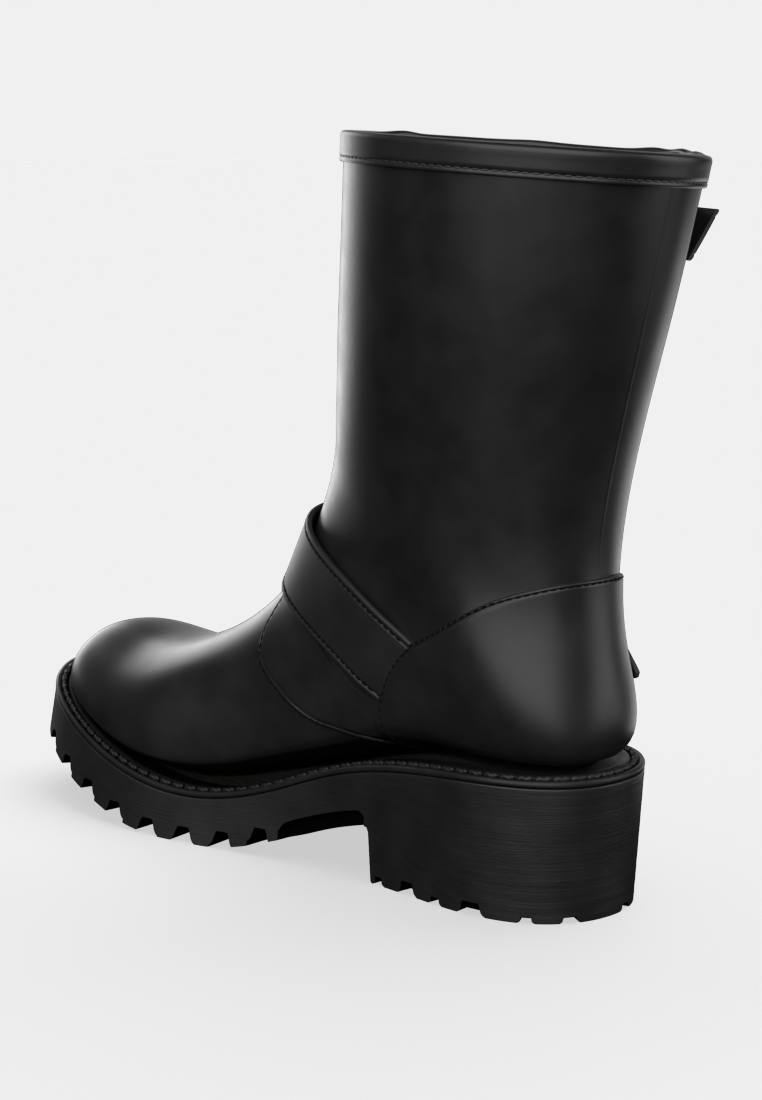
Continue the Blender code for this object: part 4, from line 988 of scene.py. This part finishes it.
def make_sole(outline):
    groove, tread = height(GROOVE_LINE), height(TREAD_LINE)
    rounded = SOLE_EDGE[-1][0]
    s = np.linspace(0, outline.length, 620, endpoint=False)
    places, aways = outline.at(s)
    x = places[:, 0]
    top = groove(x) - 0.15
    low = np.where(x <= HEEL_BREAST_X, 0.0, np.maximum(tread(x), 0.0))
    blend = np.clip((x - 55) / 45, 0, 1)
    blend = blend * blend * (3 - 2 * blend)
    rng = np.random.default_rng(11)
    phases = [(rng.uniform(0, 6.28), rng.uniform(0.6, 1.7), rng.integers(2, 9)) for _ in range(6)]
    rows = []
    below = np.linspace(0, 1, 62)[1:]
    turn = 2 * math.pi * s / outline.length
    for depth, inset in [*SOLE_EDGE, *[(None, k) for k in below]]:
        if depth is None:
            drop = rounded + inset * (top + 5.0 - rounded)
            fade = np.clip((drop - rounded) / 1.5, 0, 1)
            wave = sum(np.sin(drop * 2 * math.pi / (STRIATION["pitch"] * rate) + phase
                              + 1.2 * np.sin(turn * turns)) for phase, rate, turns in phases) / 3
            out = STRIATION["depth"] * wave * fade * np.interp(x, (45, 95), (1.0, 0.3))
        else:
            drop, out = np.full_like(x, depth), np.full_like(x, inset)
        share = np.clip(drop / (top - low), 0, 1.3)
        out = out + SOLE_FLARE * share * blend - HEEL_TAPER * drop / 46.0 * (1 - blend)
        xy = places + aways * out[:, None]
        rows.append(np.column_stack([xy, top - drop]))
    grid = np.array(rows)
    count = grid.shape[1]
    faces = grid_faces(len(grid), count, wrap=True)
    sole = piece("sole_and_heel", grid.reshape(-1, 3), faces, "sole", "sole_rubber",
                 ("outsole",), sharp=38)
    bm = bmesh.new()
    bm.from_mesh(sole.data)
    bm.edges.ensure_lookup_table()
    rims = [e for e in bm.edges if e.is_boundary]
    level = (grid[0, :, 2].min() - 6) * MM
    for ring in ([e for e in rims if e.verts[0].co.z > level],
                 [e for e in rims if e.verts[0].co.z <= level]):
        bmesh.ops.triangle_fill(bm, edges=ring, use_beauty=True, normal=(0, 0, 1))
    bmesh.ops.recalc_face_normals(bm, faces=bm.faces)
    bm.to_mesh(sole.data)
    bm.free()
    behind, ahead, beside, underground = -90, 262, 90.0, -30
    under = [(behind, 0.0), (HEEL_BREAST_X - 0.6, 0.0), (HEEL_BREAST_X, 0.6)]
    under += [(HEEL_BREAST_X, z) for z in (12.0, tread(HEEL_BREAST_X) - 2.5)]
    under += [(HEEL_BREAST_X + 0.8, tread(HEEL_BREAST_X) - 0.7)]
    under += [(x, max(tread(x), 0.0)) for x in np.arange(HEEL_BREAST_X + 2.6, ahead, 2.0)]
    under += [(ahead, underground), (behind, underground)]
    sections = [[(px, y, pz) for px, pz in under] for y in (-beside, beside)]
    carve(sole, [loft(sections), *arch_cutters(outline), *lug_cutters(outline)])
    smoothed(sole.data, 32)


# ---------------------------------------------------------------- raised panels
def edge_curve(points):
    rows = np.array(points, float)
    places = lengths_along(rows)
    curve = spline(np.column_stack([places / places[-1], rows]))
    return lambda t: curve(np.ravel(t)).reshape(np.shape(t) + (rows.shape[1],))


def coons(left, right, bottom, top, u, v):
    """Places between four edge curves at grids u and v."""
    u_, v_ = u[..., None], v[..., None]
    grid = (1 - u_) * left(v) + u_ * right(v) + (1 - v_) * bottom(u) + v_ * top(u)
    corner = ((1 - u_) * (1 - v_) * bottom(np.array(0.0)) + u_ * (1 - v_) * bottom(np.array(1.0))
              + (1 - u_) * v_ * top(np.array(0.0)) + u_ * v_ * top(np.array(1.0)))
    return grid - corner


# Distances from a free edge at which a panel is divided
EDGE_STEPS = (0.0, 0.12, 0.3, 0.55, 0.9, 1.2, 1.45, 1.75, 2.05, 2.3, 2.6, 3.2)


def steps_between(length, start, end, step=1.6):
    """Distances from 0 to length, fine beside a free start or end, as shares."""
    near = EDGE_STEPS[-1]
    middle = np.arange(near if start else 0.0, length - (near if end else 0.0) + 1e-6, step)
    values = list(middle)
    if start:
        values += EDGE_STEPS[:-1]
    if end:
        values += [length - d for d in EDGE_STEPS]
    values += [0.0, length]
    values = np.array(sorted(set(np.round(values, 4))))
    keep = np.concatenate([[True], np.diff(values) > 0.05])
    return values[keep] / length


def panel_profile(distance, level):
    """Height over the upper at a distance from the nearest free edge: round, then a groove."""
    rounding = np.clip(distance / 0.9, 0, 1)
    rise = level * np.sqrt(np.clip(1 - (1 - rounding) ** 2, 0, 1))
    return rise - 0.4 * np.exp(-((distance - SEAM_IN) / 0.34) ** 2) * (distance > 0.7)


def make_panel(name, node, locate, edges, sizes, free, level):
    """A raised panel. edges are its left, right, bottom and top curves, sizes its width and
    height, free says which edges show, and locate finds the place and normal on the upper."""
    u = steps_between(sizes[0], free[0], free[1])
    v = steps_between(sizes[1], free[2], free[3])
    u, v = np.meshgrid(u, v)
    flat = coons(*edges, u, v)
    found = [[locate(*p) for p in row] for row in flat]
    places = np.array([[p for p, _ in row] for row in found])
    normals = np.array([[n for _, n in row] for row in found])
    rim = []
    for is_free, line in zip(free, (places[:, 0], places[:, -1], places[0], places[-1])):
        if is_free:
            rim.append(resampled(line, 0.25))
    rim = np.vstack(rim)
    tree = KDTree(len(rim))
    for i, p in enumerate(rim):
        tree.insert(p, i)
    tree.balance()
    distance = np.array([[tree.find(p)[2] for p in row] for row in places])
    rise = panel_profile(distance, level)
    inner = places - normals * 0.5
    outer = places + normals * np.maximum(rise, 0.02)[..., None]
    points, faces = solid_sheet(inner, outer)
    piece(name, points, faces, "panel", "upper_rubber", (node,))


def seam_stitches(name, locate, edge, sizes, edges, level, trim=(0.0, 1.0)):
    """Stitches a fixed way in from one edge of a panel: edge 0 left, 1 right, 2 bottom, 3 top."""
    t = np.linspace(trim[0], trim[1], 400)
    inset = SEAM_IN / sizes[0 if edge < 2 else 1]
    inset = np.full_like(t, inset if edge % 2 == 0 else 1 - inset)
    flat = coons(*edges, inset, t) if edge < 2 else coons(*edges, t, inset)
    found = [locate(*p) for p in flat]
    normals = np.array([n for _, n in found])
    line = np.array([p for p, _ in found]) + normals * (level - 0.22)
    stitch_row(name, line, normals, "stitch", "upper_rubber", SEAM_STITCH)


def make_panels(skin):
    def round_heel(angle, z):
        return skin.from_axis(0.0, angle, z)

    def whole(points):
        return [*points, *[(360 - a, z) for a, z in points[-2::-1]]]

    edges = (edge_curve(COUNTER_FRONT), edge_curve([(360 - a, z) for a, z in COUNTER_FRONT]),
             edge_curve(whole(COUNTER_BOTTOM)), edge_curve(whole(COUNTER_SEAM)))
    level = PANEL_LEVELS["counter"]
    sizes = COUNTER_SIZE
    make_panel("heel_counter_panel", "heel_counter", round_heel, edges, sizes,
               (True, True, False, True), level)
    for edge, label in ((0, "inner"), (1, "outer"), (3, "top")):
        seam_stitches("counter_stitches_" + label, round_heel, edge, sizes, edges, level)

    level = PANEL_LEVELS["saddle"]
    front = [(z, angle) for angle, z in COUNTER_FRONT]
    angle_at = height(front)
    for name, side, (corner, top) in (("inner", 1, SADDLE_INNER_TOP),
                                      ("outer", -1, SADDLE_OUTER_TOP)):
        def beside(x, z, side=side):
            return skin.from_side(x, z, side)

        rear = []
        for z in np.linspace(SADDLE_FOOT, corner, 7):
            angle = angle_at(min(max(z, front[0][0]), front[-1][0]))
            place, _ = skin.from_axis(0.0, side * angle, z)
            rear.append((place[0] - 2.5, z))
        lower = [rear[0], *SADDLE_LOWER]
        edges = (edge_curve(rear), edge_curve(SADDLE_FRONT), edge_curve(lower),
                 edge_curve([rear[-1], *top]))
        sizes = SADDLE_SIZE
        make_panel("saddle_panel_" + name, "saddle_" + name, beside, edges, sizes,
                   (False, True, True, False), level)
        seam_stitches("saddle_stitches_front_" + name, beside, 1, sizes, edges, level)
        seam_stitches("saddle_stitches_lower_" + name, beside, 2, sizes, edges, level, (0.08, 1.0))


# ---------------------------------------------------------------- top band
# Section of the top band: (distance out from the upper, height over its rim)
BAND_PROFILE = (
    (0.1, -7.9), (0.6, -8.2), (1.1, -8.1), (1.38, -7.8), (1.45, -7.4), (1.42, -6.9), (1.12, -6.6),
    (1.02, -6.3), (1.12, -6.0), (1.4, -5.75), (1.42, -4.5), (1.36, -3.0), (1.36, -1.2), (1.4, 0.2),
    (1.32, 0.9), (1.0, 1.5), (0.5, 1.85), (-0.3, 1.98), (-1.5, 2.0), (-3.0, 1.95), (-3.9, 1.7),
    (-4.45, 1.2), (-4.65, 0.6), (-4.6, 0.1), (-4.2, -0.1), (-3.0, 0.15), (-1.0, 0.15), (-0.2, 0.1))
# Ripples of the lining's folded edge, as (angle, height, spread)
RIM_RIPPLES = ((97, 0.9, 7), (150, 0.5, 10), (196, 1.0, 8), (212, 1.3, 7), (226, 0.8, 6))


def ripple(angle, off):
    """How far the band's inner part rises above a level rim."""
    share = min(max((-off - 0.3) / 1.5, 0.0), 1.0)
    return share * sum(rise * math.exp(-((angle - at) / spread) ** 2)
                       for at, rise, spread in RIM_RIPPLES)


def make_band(form):
    sections, line, normals = [], [], []
    for angle in np.linspace(0, 360, 320, endpoint=False):
        top, below = form.points(1.0, angle), form.points(0.97, angle)
        run = form.points(1.0, angle + 1) - form.points(1.0, angle - 1)
        up = unit(top - below)
        out = unit(np.cross(up, run))
        sections.append([top + out * off + up * (rise + ripple(angle, off))
                         for off, rise in BAND_PROFILE])
        line.append(top + out * 1.1 - up * 6.3)
        normals.append(out)
    piece("top_band", *loft(sections, closed=True), "binding", "upper_rubber", ("top_binding",))
    line.append(line[0])
    normals.append(normals[0])
    stitch_row("top_band_stitches", np.array(line), np.array(normals), "thread", "upper_rubber",
               BAND_STITCH)


# ---------------------------------------------------------------- straps
STRAP_PROFILE = (
    # (across from -1 to 1 measured from the nearer edge in mm, height over the top face)
    (0.0, -0.9), (0.08, -0.35), (0.35, 0.0), (0.8, 0.12), (1.3, 0.12), (1.75, 0.0), (2.05, -0.28),
    (2.3, -0.36), (2.55, -0.28), (2.85, -0.02), (3.5, 0.0))


def strap_rings(centres, ups, outs, halves, thickness):
    """Cross-sections of a strap: centres lie on its underside."""
    sections = []
    for centre, up, out, half in zip(centres, ups, outs, halves):
        scale = min(half / 4.2, 1.0)
        edge = [(d * scale - half, thickness + rise * scale) for d, rise in STRAP_PROFILE]
        middle = [(w * (half - 3.5 * scale), thickness + 0.02) for w in (-0.6, -0.2, 0.2, 0.6)]
        over = edge + middle + [(-w, h) for w, h in edge[::-1]]
        under = [(half, 0.9), (half - 0.1 * scale, 0.35), (half - 0.45 * scale, 0.03)]
        under += [(w * (half - 0.45 * scale), 0.0) for w in (0.6, 0.2, -0.2, -0.6)]
        under += [(-w, h) for w, h in under[2::-1]]
        sections.append([centre + up * w + out * h for w, h in over + under])
    return sections


def smooth_rows(rows, step=1.2):
    """Strap stations at equal steps through rows of (centre, up, out, half width)."""
    table = np.array([np.concatenate([c, u, o, [h]]) for c, u, o, h in rows])
    places = lengths_along(table[:, :3])
    curve = spline(np.column_stack([places, table]))
    s = np.linspace(0, places[-1], int(places[-1] / step) + 1)
    fine = curve(s)
    up = unit(fine[:, 3:6])
    out = fine[:, 6:9]
    out = unit(out - up * (out * up).sum(axis=1)[:, None])
    return fine[:, :3], up, out, fine[:, 9], s


def strap_seams(name, centres, ups, outs, halves, thickness, trim):
    keep = slice(trim[0], len(centres) - trim[1])
    for sign, label in ((1, "upper"), (-1, "lower")):
        line = centres[keep] + ups[keep] * (sign * (halves[keep] - 2.3))[:, None]
        line = line + outs[keep] * (thickness - 0.12)
        stitch_row(name + "_" + label, line, outs[keep], "stitch", "strap_rubber", SEAM_STITCH)


def tail_rows(bench, tail, width):
    """Rows of a strap's straight end."""
    curve = height(tail)
    stations = [*np.arange(tail[0][0], tail[-1][0] - 0.5, 2.5), tail[-1][0]]
    return [(bench.point(s, 0, curve(s)), bench.up, bench.out, width / 2) for s in stations]


def pointed(halves, s, point_length):
    left = s[-1] - s
    share = np.where(left >= point_length, 1.0,
                     0.08 + 0.92 * np.clip(left / point_length, 0, 1) ** 0.9)
    return halves * share


def round_hole(bench, s, h, radius=1.6):
    rings = [[bench.point(s + radius * math.cos(a), radius * math.sin(a), level)
              for a in np.linspace(0, 2 * math.pi, 20, endpoint=False)] for level in (h - 3, h + 6)]
    return loft(rings)


def slot_cutter(bench, rear, front, width):
    ends = [[bench.point(s, w, h) for w, h in
             ((-width / 2, 0.6), (width / 2, 0.6), (width / 2, 14), (-width / 2, 14))]
            for s in (rear, -front)]
    return loft(ends)


def make_instep_strap(skin, bench):
    """A flat band whose lower edge lies on the boot and whose upper edge stands off it. Its
    inner end is sewn under the counter's front edge."""
    route = height(STRAP_ROUTE)
    low, high = (np.array(p) for p in STRAP_SEAM)
    place, out = skin.from_side(*(low + high) / 2, 1)
    up = unit(np.array((high[0] - low[0], 0.0, high[1] - low[1])))
    up = unit(up - out * out.dot(up))
    rows = [(place + out * STRAP_TUCK, up, out, np.linalg.norm(high - low) / 2)]
    for degrees in (*range(88, -33, -8), -38):
        ahead = skin.from_axis(STRAP_AXIS_X, degrees - 3, route(degrees - 3))[0]
        behind = skin.from_axis(STRAP_AXIS_X, degrees + 3, route(degrees + 3))[0]
        place, out = skin.from_axis(STRAP_AXIS_X, degrees, route(degrees))
        run = unit(ahead - behind)
        up = np.cross(run, out)
        up *= np.sign(up[2])
        share = min(max((20 - degrees) / 60, 0), 1)
        half = (INSTEP_WIDTHS[0] * (1 - share) + INSTEP_WIDTHS[1] * share) / 2
        marks = [skin.nearest(place + up * half * w)[0] for w in (-1, -0.5, 0, 0.5, 1)]
        tilt = max((mark - marks[0]).dot(out) / ((k + 1) * half / 2)
                   for k, mark in enumerate(marks[1:]))
        lift = np.interp(degrees, *zip(*STRAP_LIFT))
        gap = np.interp(degrees, *zip(*STRAP_GAP))
        up = unit(up + out * (tilt + gap / (2 * half)))
        out = unit(out - up * out.dot(up))
        rows.append((marks[0] + out * lift + up * half, up, out, half))
    rows += tail_rows(bench, INSTEP_TAIL, INSTEP_WIDTHS[1])
    centres, ups, outs, halves, s = smooth_rows(rows)
    halves = pointed(halves, s, 20.0)
    rings = strap_rings(centres, ups, outs, halves, STRAP_FACE)
    strap = piece("instep_strap_band", *loft(rings), "strap", "strap_rubber", ("instep_strap",))
    curve = height(INSTEP_TAIL)
    carve(strap, [slot_cutter(bench, 4.6, 14.5, STRAP_SLOT),
                  *[round_hole(bench, d, curve(d)) for d in INSTEP_HOLES]])
    strap_seams("instep_stitches", centres, ups, outs, halves, STRAP_FACE, (3, 12))


def make_top_strap(skin, bench):
    touch_x, touch_z = TOP_BUCKLE["touch"]
    rows = []
    for x, lift in TOP_STRAP_ROUTE:
        z = touch_z + (x - touch_x) * 0.06
        place, out = skin.from_side(x, z, -1)
        ahead = skin.from_side(x - 3, z, -1)[0] - place
        up = unit(np.cross(ahead, out))
        up *= np.sign(up[2])
        rows.append((place + out * lift, up, out, TOP_STRAP_WIDTH / 2))
    rows += tail_rows(bench, TOP_TAIL, TOP_STRAP_WIDTH)
    centres, ups, outs, halves, _ = smooth_rows(rows)
    rings = strap_rings(centres, ups, outs, halves, STRAP_FACE)
    strap = piece("top_strap_band", *loft(rings), "strap", "strap_rubber", ("top_strap",))
    curve = height(TOP_TAIL)
    end, half = TOP_TAIL[-1][0], TOP_STRAP_WIDTH / 2
    corner, wide = end - TOP_STRAP_SLANT, half + 9
    past = [[bench.point(s, w, h) for s, w in ((end, half), (corner, -half), (corner, -wide),
                                               (end + 14, -wide), (end + 14, wide), (end, wide))]
            for h in (-6, 22)]
    carve(strap, [slot_cutter(bench, 4.6, 12.0, STRAP_SLOT), loft(past),
                  *[round_hole(bench, d, curve(d)) for d in TOP_HOLES]])
    strap_seams("top_stitches", centres, ups, outs, halves, STRAP_FACE, (3, 9))


# ---------------------------------------------------------------- buckles
FOLD_INNER = WIRE_RADIUS + BAR_GAP              # radii of the chape's fold round the bar
FOLD_OUTER = FOLD_INNER + CHAPE_WALL
HOOK = WIRE_RADIUS + BAR_GAP + PRONG_RADIUS     # radius of the prong's turn round the bar
KEEPER_WALL = 1.2
KEEPER_PROFILE = (
    # (along the strap, out from the middle of the wall)
    (-4, -0.35), (-4, 0.25), (-3.6, 0.6), (-1.5, 0.72), (1.5, 0.72), (3.6, 0.6), (4, 0.25),
    (4, -0.35), (3.6, -0.6), (-3.6, -0.6))


def rounded_loop(x0, x1, half, radius, h0, h1, steps=8):
    """A rounded rectangle, x from the bar to the front, h rising from h0 to h1."""
    points = []
    corners = ((x1 - radius, half - radius, 0), (x0 + radius, half - radius, 90),
               (x0 + radius, -half + radius, 180), (x1 - radius, -half + radius, 270))
    for (cx, cy, start), (nx, ny, _) in zip(corners, corners[1:] + corners[:1]):
        for turn in np.linspace(0, 90, steps):
            a = math.radians(start + turn)
            points.append((cx + radius * math.cos(a), cy + radius * math.sin(a)))
        a = math.radians(start + 90)
        b = (nx + radius * math.cos(a), ny + radius * math.sin(a))
        for k in (1, 2, 3):
            points.append(tuple(p + (q - p) * k / 4 for p, q in zip(points[-k], b)))
    return [(x, y, h0 + (h1 - h0) * (x - x0) / (x1 - x0)) for x, y in points]


def placed(bench, points, lift):
    """Points of a buckle's own frame (x ahead, y along the bar, h out) in the boot's frame."""
    across = np.cross(bench.out, -bench.back)
    origin = bench.point(0, 0, lift)
    return [origin - bench.back * x + across * y + bench.out * h for x, y, h in points]


def make_wire(prefix, bench, reach, strap_width):
    half = strap_width / 2 + FRAME_GAP + WIRE_RADIUS
    wire = rounded_loop(0.0, reach, half, 3.0, 0.0, REST_HEIGHT - BAR_HEIGHT)
    piece(prefix + "_frame_wire", *sweep(placed(bench, wire, BAR_HEIGHT), WIRE_RADIUS, 16, True),
          "steel", "buckle_metal", (prefix + "_buckle_frame",), prefix + "_frame")


def make_prong(prefix, bench, reach):
    """A pin that hooks round the bar and rests on the far side of the frame."""
    path = [(HOOK * math.cos(math.radians(a)), 0.0, HOOK * math.sin(math.radians(a)))
            for a in range(300, 89, -10)]
    tip = REST_HEIGHT - BAR_HEIGHT + WIRE_RADIUS + REST_GAP + PRONG_RADIUS
    middle = height([(HOOK * 0.1, HOOK), (reach * 0.5, (HOOK + tip) / 2 + 0.5),
                     (reach * 0.85, tip + 0.15), (reach + 1.1, tip)])
    path += [(x, 0, middle(x)) for x in np.linspace(HOOK * 0.4, reach + 1.1, 22)]
    taper = [1.0] * (len(path) - 5) + [0.97, 0.93, 0.86, 0.72, 0.45]
    pin = sweep(placed(bench, path, BAR_HEIGHT), PRONG_RADIUS, 14, False, taper, (0.2, 0.9, 0.1))
    piece(prefix + "_prong_pin", *pin, "steel", "buckle_metal", (prefix + "_buckle_prong",),
          prefix + "_prong")


def make_chape(prefix, bench, strap_width, length):
    """A fold of strap round the bar, open where the prong passes."""
    low = CHAPE_UNDERSIDE - BAR_HEIGHT
    top_end = length - 5.0

    def turned(radius, degrees):
        return [(-radius * math.cos(math.radians(a)), radius * math.sin(math.radians(a)))
                for a in degrees]

    fold = [(length, low), *turned(FOLD_OUTER, range(-90, 91, 10)), (top_end, FOLD_OUTER),
            (top_end, FOLD_INNER), *turned(FOLD_INNER, range(90, -91, -10)),
            (length, low + CHAPE_WALL)]
    edge = strap_width / 2 - 0.2
    sections = [[bench.point(s, w, BAR_HEIGHT + h) for s, h in fold] for w in (-edge, edge)]
    chape = piece(prefix + "_chape_fold", *loft(sections), "strap", "strap_rubber",
                  (prefix + "_chape",), sharp=38)
    slot = PRONG_RADIUS + 0.9
    sides = [[bench.point(s, w, h) for w, h in ((-slot, 0.2), (slot, 0.2), (slot, 12), (-slot, 12))]
             for s in (-FOLD_OUTER - 2, HOOK + 2.4)]
    carve(chape, [loft(sides)])
    bevel(chape, 0.22, 2)


def make_keeper(prefix, bench, strap_width, place):
    """A loop round the chape and the strap's tail."""
    bottom = BAR_HEIGHT + FOLD_INNER - 0.9
    top = BAR_HEIGHT + FOLD_OUTER + REST_GAP + STRAP_THICKNESS
    centre = (bottom + top) / 2
    half_w = strap_width / 2 + 0.6 + KEEPER_WALL / 2
    half_h = (top - bottom) / 2 + KEEPER_WALL / 2
    loop = [(w, h) for w, h, _ in rounded_loop(-half_w, half_w, half_h, 1.1, 0, 0, 6)]
    sections = []
    for i, (w, h) in enumerate(loop):
        (w0, h0), (w1, h1) = loop[i - 1], loop[(i + 1) % len(loop)]
        normal = unit(np.array((h1 - h0, w0 - w1)))
        normal = normal if normal.dot((w, h)) >= 0 else -normal
        sections.append([bench.point(place + s, w + normal[0] * d, centre + h + normal[1] * d)
                         for s, d in KEEPER_PROFILE])
    piece(prefix + "_keeper_loop", *loft(sections, closed=True), "strap", "strap_rubber",
          (prefix + "_keeper",), prefix + "_loop")


def make_buckle(prefix, bench, buckle, strap_width):
    make_wire(prefix, bench, buckle["reach"], strap_width)
    make_prong(prefix, bench, buckle["reach"])
    make_chape(prefix, bench, strap_width, buckle["chape"])
    make_keeper(prefix, bench, strap_width, buckle["keeper"])


# ---------------------------------------------------------------- build
UPPER_FORM = Form()
SKIN = Skin(UPPER_FORM, np.linspace(0.0015, 1, 170), 150)
OUTLINE = Outline()
make_upper(UPPER_FORM)
make_lining()
make_footbed()
make_welt(OUTLINE)
make_sole(OUTLINE)
make_panels(SKIN)
make_band(UPPER_FORM)
INSTEP_BENCH = Bench(SKIN, INSTEP_BUCKLE)
TOP_BENCH = Bench(SKIN, TOP_BUCKLE)
make_instep_strap(SKIN, INSTEP_BENCH)
make_top_strap(SKIN, TOP_BENCH)
make_buckle("instep", INSTEP_BENCH, INSTEP_BUCKLE, INSTEP_WIDTHS[1])
make_buckle("top", TOP_BENCH, TOP_BUCKLE, TOP_STRAP_WIDTH)
for node, look in (("insole_board", "board"), ("shank", "shank")):
    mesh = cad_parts[node].data
    mesh.materials.clear()
    mesh.materials.append(LOOKS[look])


# ---------------------------------------------------------------- floor, lights and camera
def aimed(place, ahead):
    """World matrix of a light or camera at a place that looks ahead."""
    turn = ahead.to_track_quat("-Z", "Y").to_matrix().to_4x4()
    return Matrix.Translation(place) @ turn


def area_light(name, place, size, power, linked="EXCLUDE", aim=MIDDLE, shadow=True):
    """A soft light aimed at the boot's middle. It leaves the floor out, or lights it alone."""
    data = bpy.data.lights.new(name, "AREA")
    data.shape = "RECTANGLE"
    data.size, data.size_y = size
    data.energy = power
    data.use_shadow = shadow
    light = put(name, data)
    light.visible_camera = False
    place = Vector(place)
    light.matrix_world = aimed(place, Vector(aim) - place)
    receivers = bpy.data.collections.new(name + "_receivers")
    receivers.objects.link(FLOOR)
    receivers.collection_objects[0].light_linking.link_state = linked
    light.light_linking.receiver_collection = receivers


def make_floor():
    mesh = bpy.data.meshes.new("floor")
    corners = [(x * FLOOR_REACH, y * FLOOR_REACH, 0)
               for x, y in ((-1, -1), (1, -1), (1, 1), (-1, 1))]
    mesh.from_pydata(corners, [], [(0, 1, 2, 3)])
    floor = put("floor", mesh)
    look = Look("floor_look")
    look.feed(look.shader, {"Base Color": (0.85, 0.85, 0.85, 1), "Roughness": 0.9})
    mesh.materials.append(look.material)
    floor.is_shadow_catcher = True
    floor.visible_glossy = False
    floor.visible_diffuse = False
    return floor


def make_world():
    world = bpy.data.worlds.new("studio")
    bpy.context.scene.world = world
    world.use_nodes = True
    back = world.node_tree.nodes["Background"]
    back.inputs["Color"].default_value = (1, 1, 1, 1)
    back.inputs["Strength"].default_value = BACKGROUND
    world.cycles_visibility.glossy = False
    world.cycles_visibility.diffuse = False


def make_camera():
    data = bpy.data.cameras.new("camera")
    data.sensor_fit = "VERTICAL"
    data.sensor_height = CAMERA_HEIGHT
    data.lens = CAMERA_LENS
    data.clip_end = 100
    camera = put("camera", data)
    level = math.sqrt(0.5) * math.cos(CAMERA_DROP)
    camera.matrix_world = aimed(Vector(CAMERA_PLACE) * MM,
                                Vector((level, -level, -math.sin(CAMERA_DROP))))
    bpy.context.scene.camera = camera


FLOOR = make_floor()
make_world()
make_camera()
area_light("rim_left", (0.97, -0.22, 0.34), (0.5, 0.7), 3.1)
area_light("back_card", (1.0, -0.95, 0.4), (1.9, 0.75), 3)
area_light("floor_card", (0.8, -0.8, 0.004), (1.8, 1.2), 9, aim=(0.8, -0.79, 1.0))
area_light("right_fill", (-0.76, -0.68, 0.5), (0.7, 1.2), 5)
area_light("front_fill", (-0.5, 1.1, 0.85), (2.6, 2.2), 37)
area_light("floor_key", (0.1, -0.6, 1.6), (1.6, 1.6), 5, "INCLUDE")
area_light("floor_wash", (0.0, 0.0, 2.0), (2.5, 2.5), 28, "INCLUDE", shadow=False)
bpy.context.scene.view_settings.view_transform = "Standard"
